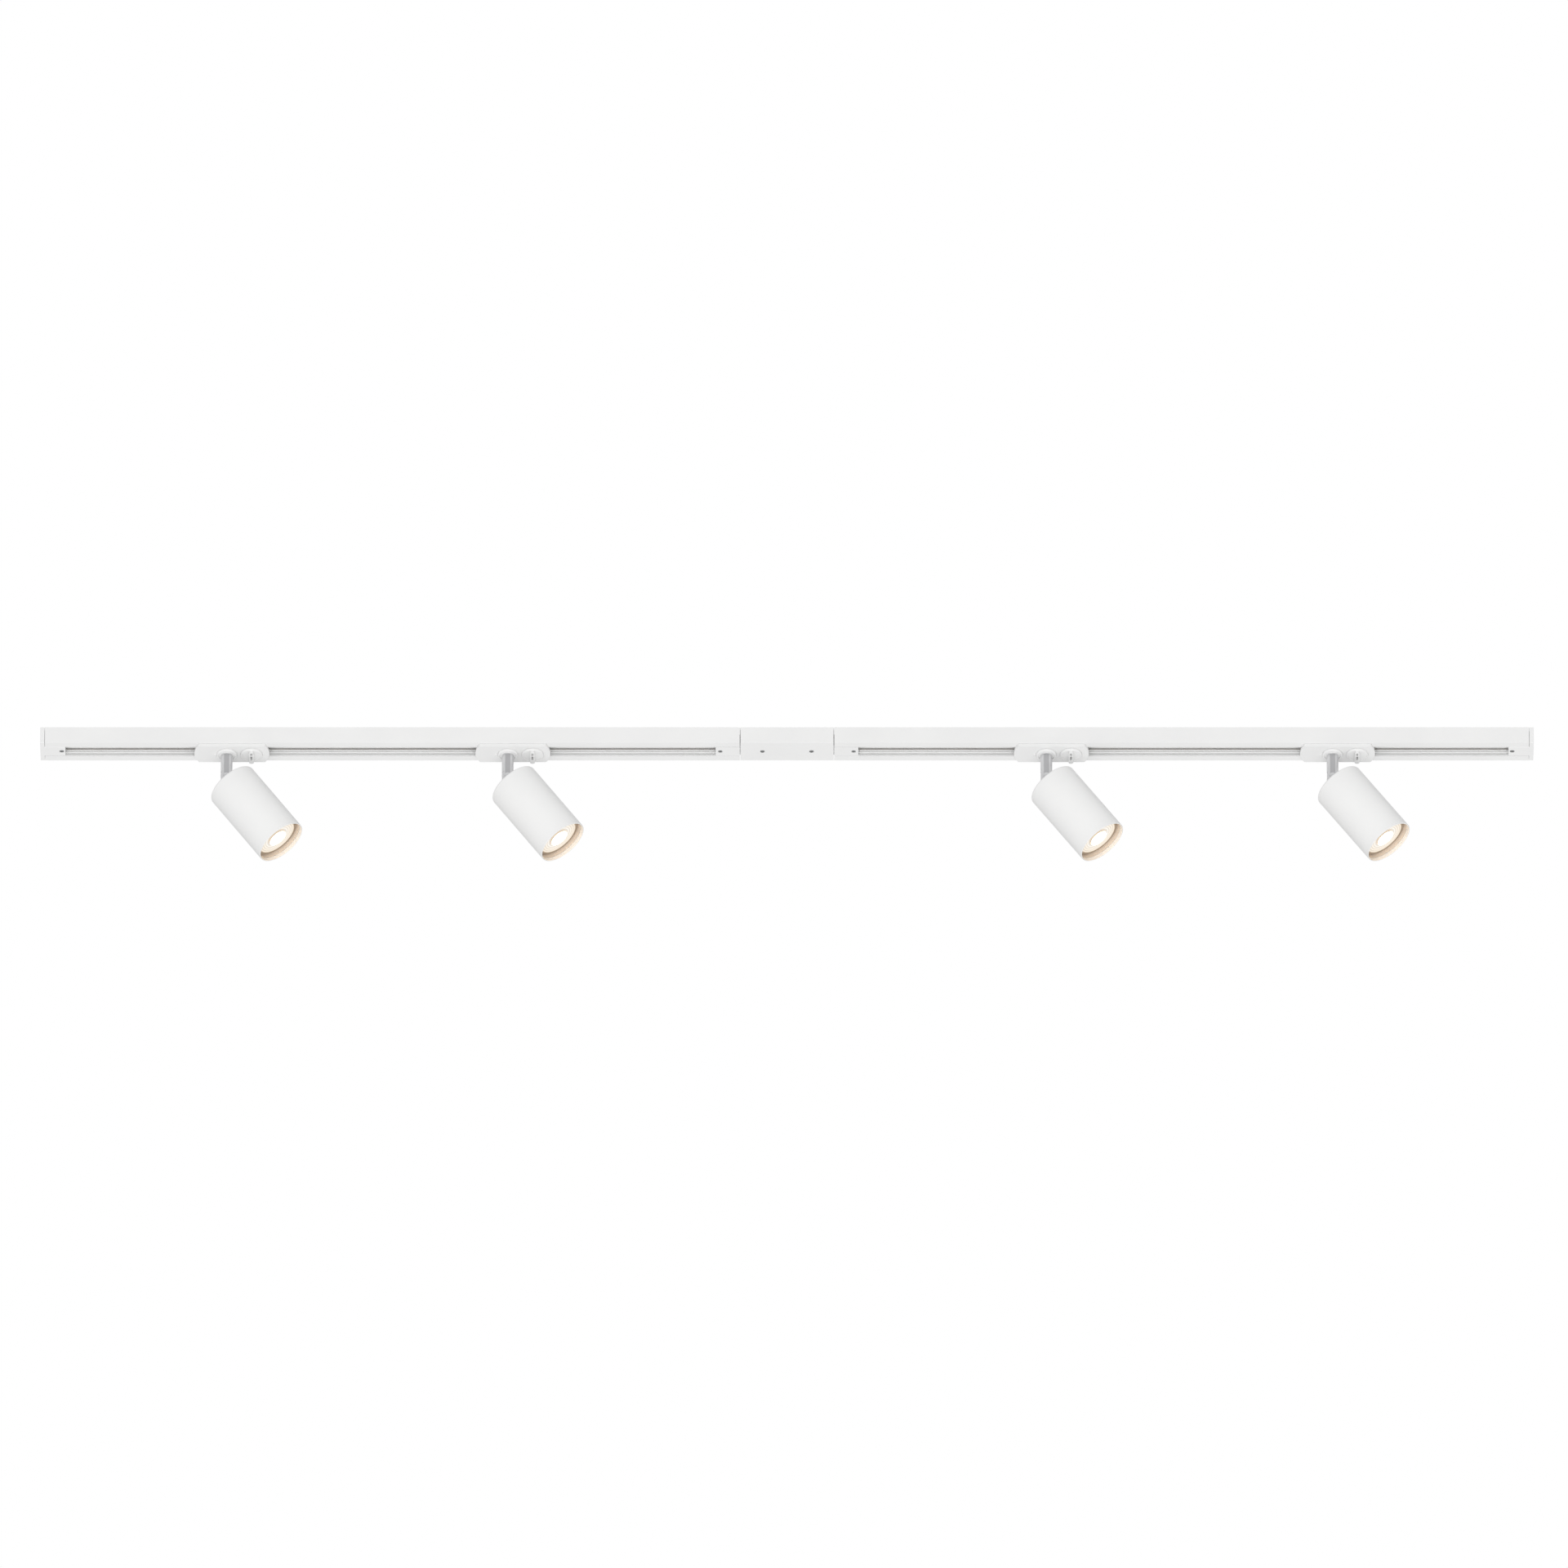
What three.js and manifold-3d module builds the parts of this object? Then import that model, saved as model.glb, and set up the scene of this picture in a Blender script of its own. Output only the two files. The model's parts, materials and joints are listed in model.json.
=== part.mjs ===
// Track lighting fixture: two surface-mounted rails joined by a live feeder, with four
// adjustable spotlights.
// Millimetres, +Z up. The origin is the middle of the feeder's top face, on the ceiling.
import * as THREE from "three";
import { mergeVertices } from "three/addons/utils/BufferGeometryUtils.js";
import Module from "manifold-3d";

const wasm = await Module();
wasm.setup();

// ---------------------------------------------------------------- driving dimensions
const GAP = 0.3; // clearance left between touching pieces

const RAIL_LENGTH = 750;
const RAIL_WIDTH = 35;
const RAIL_HEIGHT = 20;
const RAIL_WALL = 1.6;
const LIP_THICKNESS = 2.7;
const SLOT_WIDTH = 18;

const FEEDER_LENGTH = 102;
const CAP_THICKNESS = 5;
const RAIL_START = FEEDER_LENGTH / 2;
const RAIL_END = RAIL_START + RAIL_LENGTH;

const TONGUE_WIDTH = 17.2; // plug-in tongues and adapter guides, inside the slot
const TONGUE_TOP = -3.7;
const JOINT_TONGUE_LENGTH = 26;
const CAP_TONGUE_LENGTH = 22;
const JOINT_SCREW_X = 72;
const COVER_SCREW_X = 26.5;
const CAP_SCREW_X = 783;
const SCREW_HEAD_RADIUS = 2.2;
const SCREW_SHANK_RADIUS = 1.3;

const SPOT_CENTRES = [-599.3, -295.9, 285.5, 594.4];
const STEM_OFFSET = -5.5; // swivel axis, from the adapter's centre
const LEVER_OFFSET = 21.1; // lock lever axis, from the adapter's centre
const PLATE_TOP = -RAIL_HEIGHT - GAP;
const PLATE_THICKNESS = 3;
const PLATE_BOTTOM = PLATE_TOP - PLATE_THICKNESS;
const DISC_BOTTOM = -26; // lower face of the swivel disc and of the lever disc
const POST_RADIUS = 6.3;
const PIVOT_Z = -54.4;
const PIN_RADIUS = 2;

const HEAD_TILT = 36; // degrees from straight down, toward +X
const HOUSING_RADIUS = 28;
const HOUSING_BORE = 26.9;
const HOUSING_REAR = 9.7; // distances along the head's axis, from the tilt pivot
const HOUSING_MOUTH = 101.7;
const LAMP_FRONT = 94;
const LAMP_RADIUS = 25;
const LAMP_REAR = 46.4;

// ---------------------------------------------------------------- materials
function finish(color, roughness, metalness) {
  return new THREE.MeshStandardMaterial({ color, roughness, metalness });
}
const WHITE_PAINT = finish(0xf0f0ee, 0.45, 0.0);
const WHITE_PLASTIC = finish(0xe9e9e6, 0.5, 0.0);
const LINER_PLASTIC = finish(0xd9d9d5, 0.55, 0.0);
const SATIN_METAL = finish(0xb9babb, 0.35, 0.9);
const ZINC_STEEL = finish(0xa9abad, 0.4, 1.0);
const COPPER = finish(0xb87445, 0.35, 1.0);
const CERAMIC = finish(0xe8e4da, 0.6, 0.0);
const REFLECTOR = finish(0xd8d8d6, 0.3, 0.6);
const LENS_GLASS = finish(0xfff4e2, 0.2, 0.0);

// ---------------------------------------------------------------- shape helpers
// Joins coincident corners and makes every face point outward.
function closed(geometry) {
  const bare = geometry.clone();
  bare.deleteAttribute("normal");
  bare.deleteAttribute("uv");
  const merged = mergeVertices(bare, 1e-4);
  const position = merged.attributes.position;
  const corner = [new THREE.Vector3(), new THREE.Vector3(), new THREE.Vector3()];
  const keep = [];
  let volume = 0;
  for (let i = 0; i < merged.index.count; i += 3) {
    const [a, b, c] = [0, 1, 2].map((k) => merged.index.getX(i + k));
    if (a === b || b === c || c === a) continue;
    [a, b, c].forEach((vertex, k) => corner[k].fromBufferAttribute(position, vertex));
    volume += corner[0].dot(corner[1].cross(corner[2]));
    keep.push([a, b, c]);
  }
  merged.setIndex(keep.flatMap(([a, b, c]) => (volume < 0 ? [a, c, b] : [a, b, c])));
  return merged;
}

function toSolid(geometry) {
  const body = closed(geometry);
  const vertProperties = new Float32Array(body.attributes.position.array);
  const triVerts = new Uint32Array(body.index.array);
  return new wasm.Manifold(new wasm.Mesh({ numProp: 3, vertProperties, triVerts }));
}

function toGeometry(solid) {
  const mesh = solid.getMesh();
  const geometry = new THREE.BufferGeometry();
  geometry.setAttribute("position", new THREE.Float32BufferAttribute(mesh.vertProperties, 3));
  geometry.setIndex(Array.from(mesh.triVerts));
  return geometry;
}

// One body from several added geometries, less the geometries cut away.
function combine(added, removed = []) {
  let solid = toSolid(added[0]);
  for (const geometry of added.slice(1)) solid = solid.add(toSolid(geometry));
  for (const geometry of removed) solid = solid.subtract(toSolid(geometry));
  return toGeometry(solid);
}

function box(x0, x1, y0, y1, z0, z1) {
  const geometry = new THREE.BoxGeometry(Math.abs(x1 - x0), Math.abs(y1 - y0), Math.abs(z1 - z0));
  geometry.translate((x0 + x1) / 2, (y0 + y1) / 2, (z0 + z1) / 2);
  return geometry;
}

// Upright cylinder or cone at (x, y) between two heights.
function upright(x, y, z0, z1, radius0, radius1 = radius0, segments = 20) {
  const geometry = new THREE.CylinderGeometry(radius1, radius0, Math.abs(z1 - z0), segments);
  geometry.rotateX(Math.PI / 2);
  geometry.translate(x, y, (z0 + z1) / 2);
  return geometry;
}

// Cylinder lying across the rail, along Y.
function crossways(x, z, y0, y1, radius, segments = 20) {
  const geometry = new THREE.CylinderGeometry(radius, radius, Math.abs(y1 - y0), segments);
  geometry.translate(x, (y0 + y1) / 2, z);
  return geometry;
}

function outline(points) {
  return new THREE.Shape(points.map(([u, v]) => new THREE.Vector2(u, v)));
}

// Section drawn in (y, z), drawn out along X.
function along(section, x0, x1) {
  const geometry = new THREE.ExtrudeGeometry(outline(section), { depth: x1 - x0, bevelEnabled: false });
  const axes = new THREE.Matrix4().makeBasis(
    new THREE.Vector3(0, 1, 0),
    new THREE.Vector3(0, 0, 1),
    new THREE.Vector3(1, 0, 0),
  );
  geometry.applyMatrix4(axes);
  geometry.translate(x0, 0, 0);
  return geometry;
}

// Outline drawn in (x, y), raised between two heights.
function raised(points, z0, z1) {
  const geometry = new THREE.ExtrudeGeometry(outline(points), { depth: z1 - z0, bevelEnabled: false });
  geometry.translate(0, 0, z0);
  return geometry;
}

// Full section from its half with y >= 0: the mirror image is walked back the other way.
function mirrored(half) {
  return [...half, ...half.map(([y, z]) => [-y, z]).reverse()];
}

// Body of revolution about the head's axis, profile given as [radius, distance from pivot].
function turned(profile, segments) {
  const points = profile.map(([radius, distance]) => new THREE.Vector2(radius, distance));
  const geometry = new THREE.LatheGeometry(points, segments);
  geometry.rotateX(-Math.PI / 2);
  return geometry;
}

// ---------------------------------------------------------------- assembly
const fixture = new THREE.Group();
fixture.name = "track_lighting_fixture";

function place(name, geometry, material) {
  const flat = closed(geometry).toNonIndexed();
  flat.computeVertexNormals();
  const mesh = new THREE.Mesh(flat, material);
  mesh.name = name;
  fixture.add(mesh);
}

// Slotted screw driven upward: the head's face is at z, the shank runs up to the top.
function screw(x, z, headHeight, top) {
  const slotHalf = 0.35;
  const slotDepth = 0.8;
  const head = upright(x, 0, z, z + headHeight, SCREW_HEAD_RADIUS, SCREW_HEAD_RADIUS, 16);
  const shank = upright(x, 0, z + headHeight / 2, top, SCREW_SHANK_RADIUS, SCREW_SHANK_RADIUS, 10);
  const slot = box(x - 3, x + 3, -slotHalf, slotHalf, z - 1, z + slotDepth);
  return combine([head, shank], [slot]);
}

function screwSeat(x, z0, z1) {
  const radius = SCREW_HEAD_RADIUS + GAP;
  return upright(x, 0, z0, z1, radius, radius, 16);
}

function screwBore(x, z0, z1) {
  const radius = SCREW_SHANK_RADIUS + GAP;
  return upright(x, 0, z0, z1, radius, radius, 10);
}

// Counterbored hole for one of those screws.
function screwHole(x, z, headHeight, top) {
  return [screwSeat(x, z - 1, z + headHeight + GAP), screwBore(x, z, top)];
}

// ---------------------------------------------------------------- rails
const railHalf = RAIL_WIDTH / 2;
const slotHalf = SLOT_WIDTH / 2;
const EDGE = 0.6; // chamfer on the rail's long outer corners

const railSection = mirrored([
  [railHalf - EDGE, 0],
  [railHalf, -EDGE],
  [railHalf, -RAIL_HEIGHT + EDGE],
  [railHalf - EDGE, -RAIL_HEIGHT],
  [slotHalf, -RAIL_HEIGHT],
  [slotHalf, -RAIL_HEIGHT + LIP_THICKNESS],
  [railHalf - RAIL_WALL, -RAIL_HEIGHT + LIP_THICKNESS],
  [railHalf - RAIL_WALL, -RAIL_WALL],
]);

// Insulating liner: a web under the roof and two grooved side walls.
const LINER_FACE = 9.6;
const LINER_BACK = railHalf - RAIL_WALL - GAP;
const LINER_TOP = -RAIL_WALL - GAP;
const LINER_WEB = -3.4;
const LINER_FOOT = -RAIL_HEIGHT + LIP_THICKNESS + GAP;
const CONDUCTOR_GROOVE = { top: -8, bottom: -11, depth: 13.2 };
const LOCK_GROOVE = { top: -12, bottom: -13.5, depth: 12.2 };

const linerSection = mirrored([
  [LINER_BACK, LINER_TOP],
  [LINER_BACK, LINER_FOOT],
  [LINER_FACE, LINER_FOOT],
  [LINER_FACE, LOCK_GROOVE.bottom],
  [LOCK_GROOVE.depth, LOCK_GROOVE.bottom],
  [LOCK_GROOVE.depth, LOCK_GROOVE.top],
  [LINER_FACE, LOCK_GROOVE.top],
  [LINER_FACE, CONDUCTOR_GROOVE.bottom],
  [CONDUCTOR_GROOVE.depth, CONDUCTOR_GROOVE.bottom],
  [CONDUCTOR_GROOVE.depth, CONDUCTOR_GROOVE.top],
  [LINER_FACE, CONDUCTOR_GROOVE.top],
  [LINER_FACE, LINER_WEB],
]);

// Ceiling fixing holes in the roof of each rail.
const FIXING_INSETS = [60, 375, 690];
const FIXING_RADIUS = 2.4;
const FIXING_CLEARANCE = 5;
const ROOF_CUT = -4; // depth that clears the roof and the liner's web

// Copper strip with a tinned face, running on into the feeder at its inner end.
const STRIP_INNER = 12.1;
const STRIP_OUTER = CONDUCTOR_GROOVE.depth - GAP;
const STRIP_TOP = -8.4;
const STRIP_BOTTOM = -10.6;
const STRIP_START = 38;
const STRIP_END = RAIL_END - 2;

for (const [side, sign] of [["left", -1], ["right", 1]]) {
  const span = (near, far) => [Math.min(sign * near, sign * far), Math.max(sign * near, sign * far)];
  const holes = FIXING_INSETS.map((inset) => sign * (RAIL_START + inset));

  const rail = along(railSection, ...span(RAIL_START, RAIL_END));
  const railHoles = holes.map((x) => upright(x, 0, ROOF_CUT, 1, FIXING_RADIUS, FIXING_RADIUS, 12));
  place(`${side}_rail`, combine([rail], railHoles), WHITE_PAINT);

  const liner = along(linerSection, ...span(RAIL_START + GAP, RAIL_END - GAP));
  const linerHoles = holes.map((x) => upright(x, 0, ROOF_CUT, 0, FIXING_CLEARANCE, FIXING_CLEARANCE, 12));
  place(`${side}_liner`, combine([liner], linerHoles), LINER_PLASTIC);

  for (const [role, across] of [["live", 1], ["neutral", -1]]) {
    const [x0, x1] = span(STRIP_START, STRIP_END);
    const strip = box(x0, x1, across * STRIP_INNER, across * STRIP_OUTER, STRIP_BOTTOM, STRIP_TOP);
    place(`${side}_${role}_conductor`, strip, COPPER);
  }
}

// ---------------------------------------------------------------- feeder
const tongueHalf = TONGUE_WIDTH / 2;
const COVER_FLOOR = 1.6;
const FEEDER_PLATE = 2.5;
const SCREW_HEAD_HEIGHT = 1.8;
const coverTop = -RAIL_HEIGHT + COVER_FLOOR; // inner face of the cover's floor
const feederHalf = FEEDER_LENGTH / 2 - GAP;
const plateHalfWidth = railHalf - RAIL_WALL - GAP;
const BOSS_RADIUS = 4.5;
const INLET_X = -12;
const INLET_RADIUS = 5.5;
const BLOCK_FACE = 40; // inner face of the two end blocks that carry the tongues
const COVER_SCREW_TOP = -6;
const COVER_SCREW_PROUD = 0.4;
const COVER_SCREW_HEAD = 0.9;
const COVER_DIMPLE = 0.8;

function feederBase() {
  const added = [box(-feederHalf, feederHalf, -plateHalfWidth, plateHalfWidth, -FEEDER_PLATE, 0)];
  const removed = [upright(INLET_X, 0, -FEEDER_PLATE - 1, 1, INLET_RADIUS)];
  for (const sign of [-1, 1]) {
    const blockEnd = sign * (RAIL_START + 1);
    const tongueEnd = sign * (RAIL_START + JOINT_TONGUE_LENGTH);
    const bossX = sign * COVER_SCREW_X;
    const screwX = sign * JOINT_SCREW_X;
    added.push(box(sign * BLOCK_FACE, sign * feederHalf, -tongueHalf, tongueHalf, coverTop + GAP, -1));
    added.push(box(sign * (feederHalf - 2), blockEnd, -tongueHalf, tongueHalf, coverTop + GAP, TONGUE_TOP));
    added.push(box(sign * RAIL_START, tongueEnd, -tongueHalf, tongueHalf, -RAIL_HEIGHT, TONGUE_TOP));
    added.push(upright(bossX, 0, coverTop + GAP, -1, BOSS_RADIUS));
    removed.push(screwBore(bossX, coverTop - 1, COVER_SCREW_TOP + 1));
    removed.push(...screwHole(screwX, -RAIL_HEIGHT, SCREW_HEAD_HEIGHT, TONGUE_TOP + 1));
  }
  return combine(added, removed);
}
place("feeder_base", feederBase(), WHITE_PLASTIC);

const coverSection = mirrored([
  [railHalf - EDGE, 0],
  [railHalf, -EDGE],
  [railHalf, -RAIL_HEIGHT + EDGE],
  [railHalf - EDGE, -RAIL_HEIGHT],
]);
const coverHollow = mirrored([
  [railHalf - RAIL_WALL, 1],
  [railHalf - RAIL_WALL, coverTop],
]);

// The cover screws sit proud in shallow dimples of the floor.
function feederCover() {
  const removed = [along(coverHollow, -FEEDER_LENGTH, FEEDER_LENGTH)];
  for (const sign of [-1, 1]) {
    const x = sign * COVER_SCREW_X;
    removed.push(screwBore(x, -RAIL_HEIGHT - 1, coverTop + 1));
    removed.push(screwSeat(x, -RAIL_HEIGHT - 1, -RAIL_HEIGHT + COVER_DIMPLE));
  }
  return combine([along(coverSection, -feederHalf, feederHalf)], removed);
}
place("feeder_cover", feederCover(), WHITE_PAINT);

for (const [index, sign] of [-1, 1].entries()) {
  const face = -RAIL_HEIGHT - COVER_SCREW_PROUD;
  const coverScrew = screw(sign * COVER_SCREW_X, face, COVER_SCREW_HEAD, COVER_SCREW_TOP);
  place(`cover_screw_${index + 1}`, coverScrew, ZINC_STEEL);
}
for (const [side, sign] of [["left", -1], ["right", 1]]) {
  const jointScrew = screw(sign * JOINT_SCREW_X, -RAIL_HEIGHT, SCREW_HEAD_HEIGHT, TONGUE_TOP);
  place(`${side}_joint_screw`, jointScrew, ZINC_STEEL);
}

// Three-way terminal block: wire entries on the inlet side, a clamp screw hole under each.
const BLOCK_HEIGHT = 9;
const BLOCK_ENDS = [-3, 19];
const BLOCK_HALF_WIDTH = 12.5;
const WIRE_SPACING = 8;
const WIRE_ENTRY_RADIUS = 1.8;
const WIRE_ENTRY_END = 14;
const CLAMP_X = 8;
function terminalBlock() {
  const top = -FEEDER_PLATE - GAP;
  const wireZ = top - 5;
  const added = [box(...BLOCK_ENDS, -BLOCK_HALF_WIDTH, BLOCK_HALF_WIDTH, top - BLOCK_HEIGHT, top)];
  const removed = [];
  for (const y of [-WIRE_SPACING, 0, WIRE_SPACING]) {
    const entry = upright(0, 0, BLOCK_ENDS[0] - 1, WIRE_ENTRY_END, WIRE_ENTRY_RADIUS, WIRE_ENTRY_RADIUS, 8);
    entry.rotateY(Math.PI / 2);
    entry.translate(0, y, wireZ);
    removed.push(entry);
    removed.push(upright(CLAMP_X, y, top - BLOCK_HEIGHT - 1, wireZ, 1.9, 1.9, 8));
  }
  return combine(added, removed);
}
place("terminal_block", terminalBlock(), CERAMIC);

// ---------------------------------------------------------------- end caps
function endCap(sign) {
  const inner = RAIL_END + GAP;
  const outer = RAIL_END + CAP_THICKNESS;
  const [x0, x1] = [Math.min(sign * inner, sign * outer), Math.max(sign * inner, sign * outer)];
  const tongueEnd = sign * (RAIL_END - CAP_TONGUE_LENGTH);
  const tongue = box(tongueEnd, sign * (inner + 1), -tongueHalf, tongueHalf, -RAIL_HEIGHT, TONGUE_TOP);
  const hole = screwHole(sign * CAP_SCREW_X, -RAIL_HEIGHT, SCREW_HEAD_HEIGHT, TONGUE_TOP + 1);
  return combine([along(coverSection, x0, x1), tongue], hole);
}
for (const [side, sign] of [["left", -1], ["right", 1]]) {
  place(`${side}_end_cap`, endCap(sign), WHITE_PLASTIC);
  const capScrew = screw(sign * CAP_SCREW_X, -RAIL_HEIGHT, SCREW_HEAD_HEIGHT, TONGUE_TOP);
  place(`${side}_cap_screw`, capScrew, ZINC_STEEL);
}

// ---------------------------------------------------------------- adapter
// Plate under the rail with bowed ends, from its right half.
const PLATE_END = [
  [34.5, 16],
  [37.5, 13],
  [39.6, 9],
  [40.5, 4],
];
const plateOutline = [
  ...PLATE_END,
  ...PLATE_END.map(([x, y]) => [x, -y]).reverse(),
  ...PLATE_END.map(([x, y]) => [-x, -y]),
  ...PLATE_END.map(([x, y]) => [-x, y]).reverse(),
];
const GUIDE_TOP = -15; // guide in the slot, low enough to pass under the lever's lock tabs
const WIRE_BOX_TOP = -6; // taller box over the swivel, holding its wiring
const WIRE_BOX_END = 6;
const GUIDE_HALF = 35;
const LATCH = { near: -19.2, far: -16.8, across: 4, proud: 0.5 }; // small release latch under the plate
const HUB_RADIUS = 5.5;
const COLLAR_RADIUS = 7;
const COLLAR_BOTTOM = -16;
const LEVER_SHAFT_RADIUS = 4;

function adapter(x) {
  const stemX = STEM_OFFSET;
  const added = [
    raised(plateOutline, PLATE_BOTTOM, PLATE_TOP),
    box(-GUIDE_HALF, GUIDE_HALF, -tongueHalf, tongueHalf, PLATE_TOP - 1, GUIDE_TOP),
    box(-GUIDE_HALF, WIRE_BOX_END, -tongueHalf, tongueHalf, GUIDE_TOP - 1, WIRE_BOX_TOP),
    box(LATCH.near, LATCH.far, 0, LATCH.across, PLATE_BOTTOM - LATCH.proud, PLATE_TOP - 1),
  ];
  const removed = [
    upright(stemX, 0, PLATE_BOTTOM - 1, COLLAR_BOTTOM, HUB_RADIUS + GAP),
    upright(stemX, 0, COLLAR_BOTTOM - GAP, -13, COLLAR_RADIUS + GAP),
    upright(stemX, 0, -14, WIRE_BOX_TOP + 1, HUB_RADIUS - 1),
    upright(LEVER_OFFSET, 0, PLATE_BOTTOM - 1, GUIDE_TOP + 1, LEVER_SHAFT_RADIUS + GAP),
  ];
  const geometry = combine(added, removed);
  geometry.translate(x, 0, 0);
  return geometry;
}

// ---------------------------------------------------------------- lock lever and contacts
const LEVER_DISC_RADIUS = 12;
const FIN_HALF_THICKNESS = 2.6;
const FIN_HALF_LENGTH = 10.5;
const FIN_TIP = -29;
const TAB_TOP = -12.2; // lock tabs, turning in the lock grooves
const TAB_BOTTOM = -13.3;
const TAB_REACH = 11.7;
const BLADE_TOP = -8.8; // contact blades, turning in the conductor grooves
const BLADE_BOTTOM = -10.2;
const BLADE_REACH = 11.7;
const ROTOR_RADIUS = 5;
const ROTOR_TOP = -7;
const ARM_HALF = 2; // half the width of the lock tabs and of the contact blades
const BLADE_ROOT = 1.2;
const BLADE_SOCKET_END = 6;
const FIN_SLOT_HALF = 1.1; // two blind slots in the fin's lower face
const FIN_SLOTS = [
  { near: -9.3, far: -4.2, top: FIN_TIP + 2.5 },
  { near: -3.2, far: 3.8, top: FIN_TIP + 6 },
];

function lockLever(x) {
  const finEnd = FIN_HALF_LENGTH - FIN_HALF_THICKNESS;
  const added = [
    upright(0, 0, DISC_BOTTOM, PLATE_BOTTOM - GAP, LEVER_DISC_RADIUS - 0.5, LEVER_DISC_RADIUS, 24),
    upright(0, 0, PLATE_BOTTOM - 1, TAB_BOTTOM, LEVER_SHAFT_RADIUS),
    upright(0, 0, TAB_BOTTOM - 0.6, ROTOR_TOP, ROTOR_RADIUS),
    box(-ARM_HALF, ARM_HALF, -TAB_REACH, TAB_REACH, TAB_BOTTOM, TAB_TOP),
    box(-FIN_HALF_THICKNESS, FIN_HALF_THICKNESS, -finEnd, finEnd, FIN_TIP, DISC_BOTTOM + 1),
    upright(0, -finEnd, FIN_TIP, DISC_BOTTOM + 1, FIN_HALF_THICKNESS, FIN_HALF_THICKNESS, 12),
    upright(0, finEnd, FIN_TIP, DISC_BOTTOM + 1, FIN_HALF_THICKNESS, FIN_HALF_THICKNESS, 12),
  ];
  const removed = FIN_SLOTS.map(({ near, far, top }) =>
    box(-FIN_SLOT_HALF, FIN_SLOT_HALF, near, far, FIN_TIP - 1, top),
  );
  const socketHalf = ARM_HALF + GAP;
  for (const across of [-1, 1]) {
    const [y0, y1] = [across * BLADE_ROOT, across * BLADE_SOCKET_END];
    removed.push(box(-socketHalf, socketHalf, y0, y1, BLADE_BOTTOM - GAP, BLADE_TOP + GAP));
  }
  const geometry = combine(added, removed);
  geometry.translate(x, 0, 0);
  return geometry;
}

function contactBlade(x, across) {
  const [y0, y1] = [across * (BLADE_ROOT + GAP), across * BLADE_REACH];
  return box(x - ARM_HALF, x + ARM_HALF, y0, y1, BLADE_BOTTOM, BLADE_TOP);
}

// ---------------------------------------------------------------- swivel
const SWIVEL_DISC_RADIUS = 11;
const FORK_SLOT_HALF = 2.8;
const FORK_SLOT_TOP = PIVOT_Z + 7;
const CHEEK_HALF = 5.9; // half the width over the fork's two cheeks, flat round the pin
const CHEEK_FLAT_TOP = PIVOT_Z + 4;
const WIRE_BORE = 2;
const CHANNEL_HALF = 2.6; // flat channels down the post's front and back
const CHANNEL_FLOOR = POST_RADIUS - 1.3;
const DISH_DEPTH = 1.3; // ring-shaped dish in the disc, round the post
const DISH_RADIUS = SWIVEL_DISC_RADIUS - 2.2;
const CLEAR = 8; // reach of the cutters past the post

function swivelFork(x) {
  const dish = combine(
    [upright(0, 0, DISC_BOTTOM - 1, DISC_BOTTOM + DISH_DEPTH, DISH_RADIUS, DISH_RADIUS, 20)],
    [upright(0, 0, DISC_BOTTOM - 2, DISC_BOTTOM + 2, POST_RADIUS, POST_RADIUS, 20)],
  );
  const added = [
    upright(0, 0, DISC_BOTTOM, PLATE_BOTTOM - GAP, SWIVEL_DISC_RADIUS - 0.4, SWIVEL_DISC_RADIUS, 24),
    upright(0, 0, PLATE_BOTTOM - 1, COLLAR_BOTTOM + 1, HUB_RADIUS),
    upright(0, 0, COLLAR_BOTTOM, COLLAR_BOTTOM + 2, COLLAR_RADIUS),
    upright(0, 0, PIVOT_Z, DISC_BOTTOM + 1, POST_RADIUS, POST_RADIUS, 20),
    crossways(0, PIVOT_Z, -CHEEK_HALF, CHEEK_HALF, POST_RADIUS, 20),
  ];
  const removed = [
    dish,
    box(-CLEAR, CLEAR, -FORK_SLOT_HALF, FORK_SLOT_HALF, PIVOT_Z - CLEAR, FORK_SLOT_TOP),
    crossways(0, PIVOT_Z, -CLEAR, CLEAR, PIN_RADIUS + GAP, 12),
    upright(0, 0, FORK_SLOT_TOP - 1, COLLAR_BOTTOM + 3, WIRE_BORE, WIRE_BORE, 12),
  ];
  for (const side of [-1, 1]) {
    removed.push(box(-CLEAR, CLEAR, side * CHEEK_HALF, side * CLEAR, PIVOT_Z - CLEAR, CHEEK_FLAT_TOP));
    removed.push(
      box(-CHANNEL_HALF, CHANNEL_HALF, side * CHANNEL_FLOOR, side * CLEAR, CHEEK_FLAT_TOP, DISC_BOTTOM),
    );
  }
  const geometry = combine(added, removed);
  geometry.translate(x, 0, 0);
  return geometry;
}

// Headed pin through both cheeks and the head's lug.
function pivotPin(x) {
  const shank = crossways(x, PIVOT_Z, -CHEEK_HALF - 0.5, CHEEK_HALF + 1.2, PIN_RADIUS, 12);
  const head = crossways(x, PIVOT_Z, -CHEEK_HALF - 1.4, -CHEEK_HALF - GAP, PIN_RADIUS + 1.2, 16);
  return combine([shank, head]);
}

// ---------------------------------------------------------------- head
// Built pointing straight down from the pivot, then tilted and hung on its stem.
function hung(geometry, x) {
  geometry.rotateY(THREE.MathUtils.degToRad(-HEAD_TILT));
  geometry.translate(x, 0, PIVOT_Z);
  return geometry;
}

const LUG_HALF = 2.5;
const LUG_RADIUS = 6;
const REAR_WALL = 1.8;
const LIP_GROOVE = 3.9; // shallow groove behind the mouth, holding the lamp's spring ring
const GROOVE_WIDTH = 0.7;
const GROOVE_RADIUS = 27.3;
const LEDGE_BORE = 25.3; // inner ledge round the lamp's rim
const LEDGE_FRONT = 92.8;
const LEDGE_BACK = 91.2;
const MOUTH_CHAMFER = 0.3;
const REAR_ROUND = 1.8; // rounding of the rear edge, drawn as two chamfers
const WIRE_HOLE = { away: 12, radius: 3 };

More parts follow.
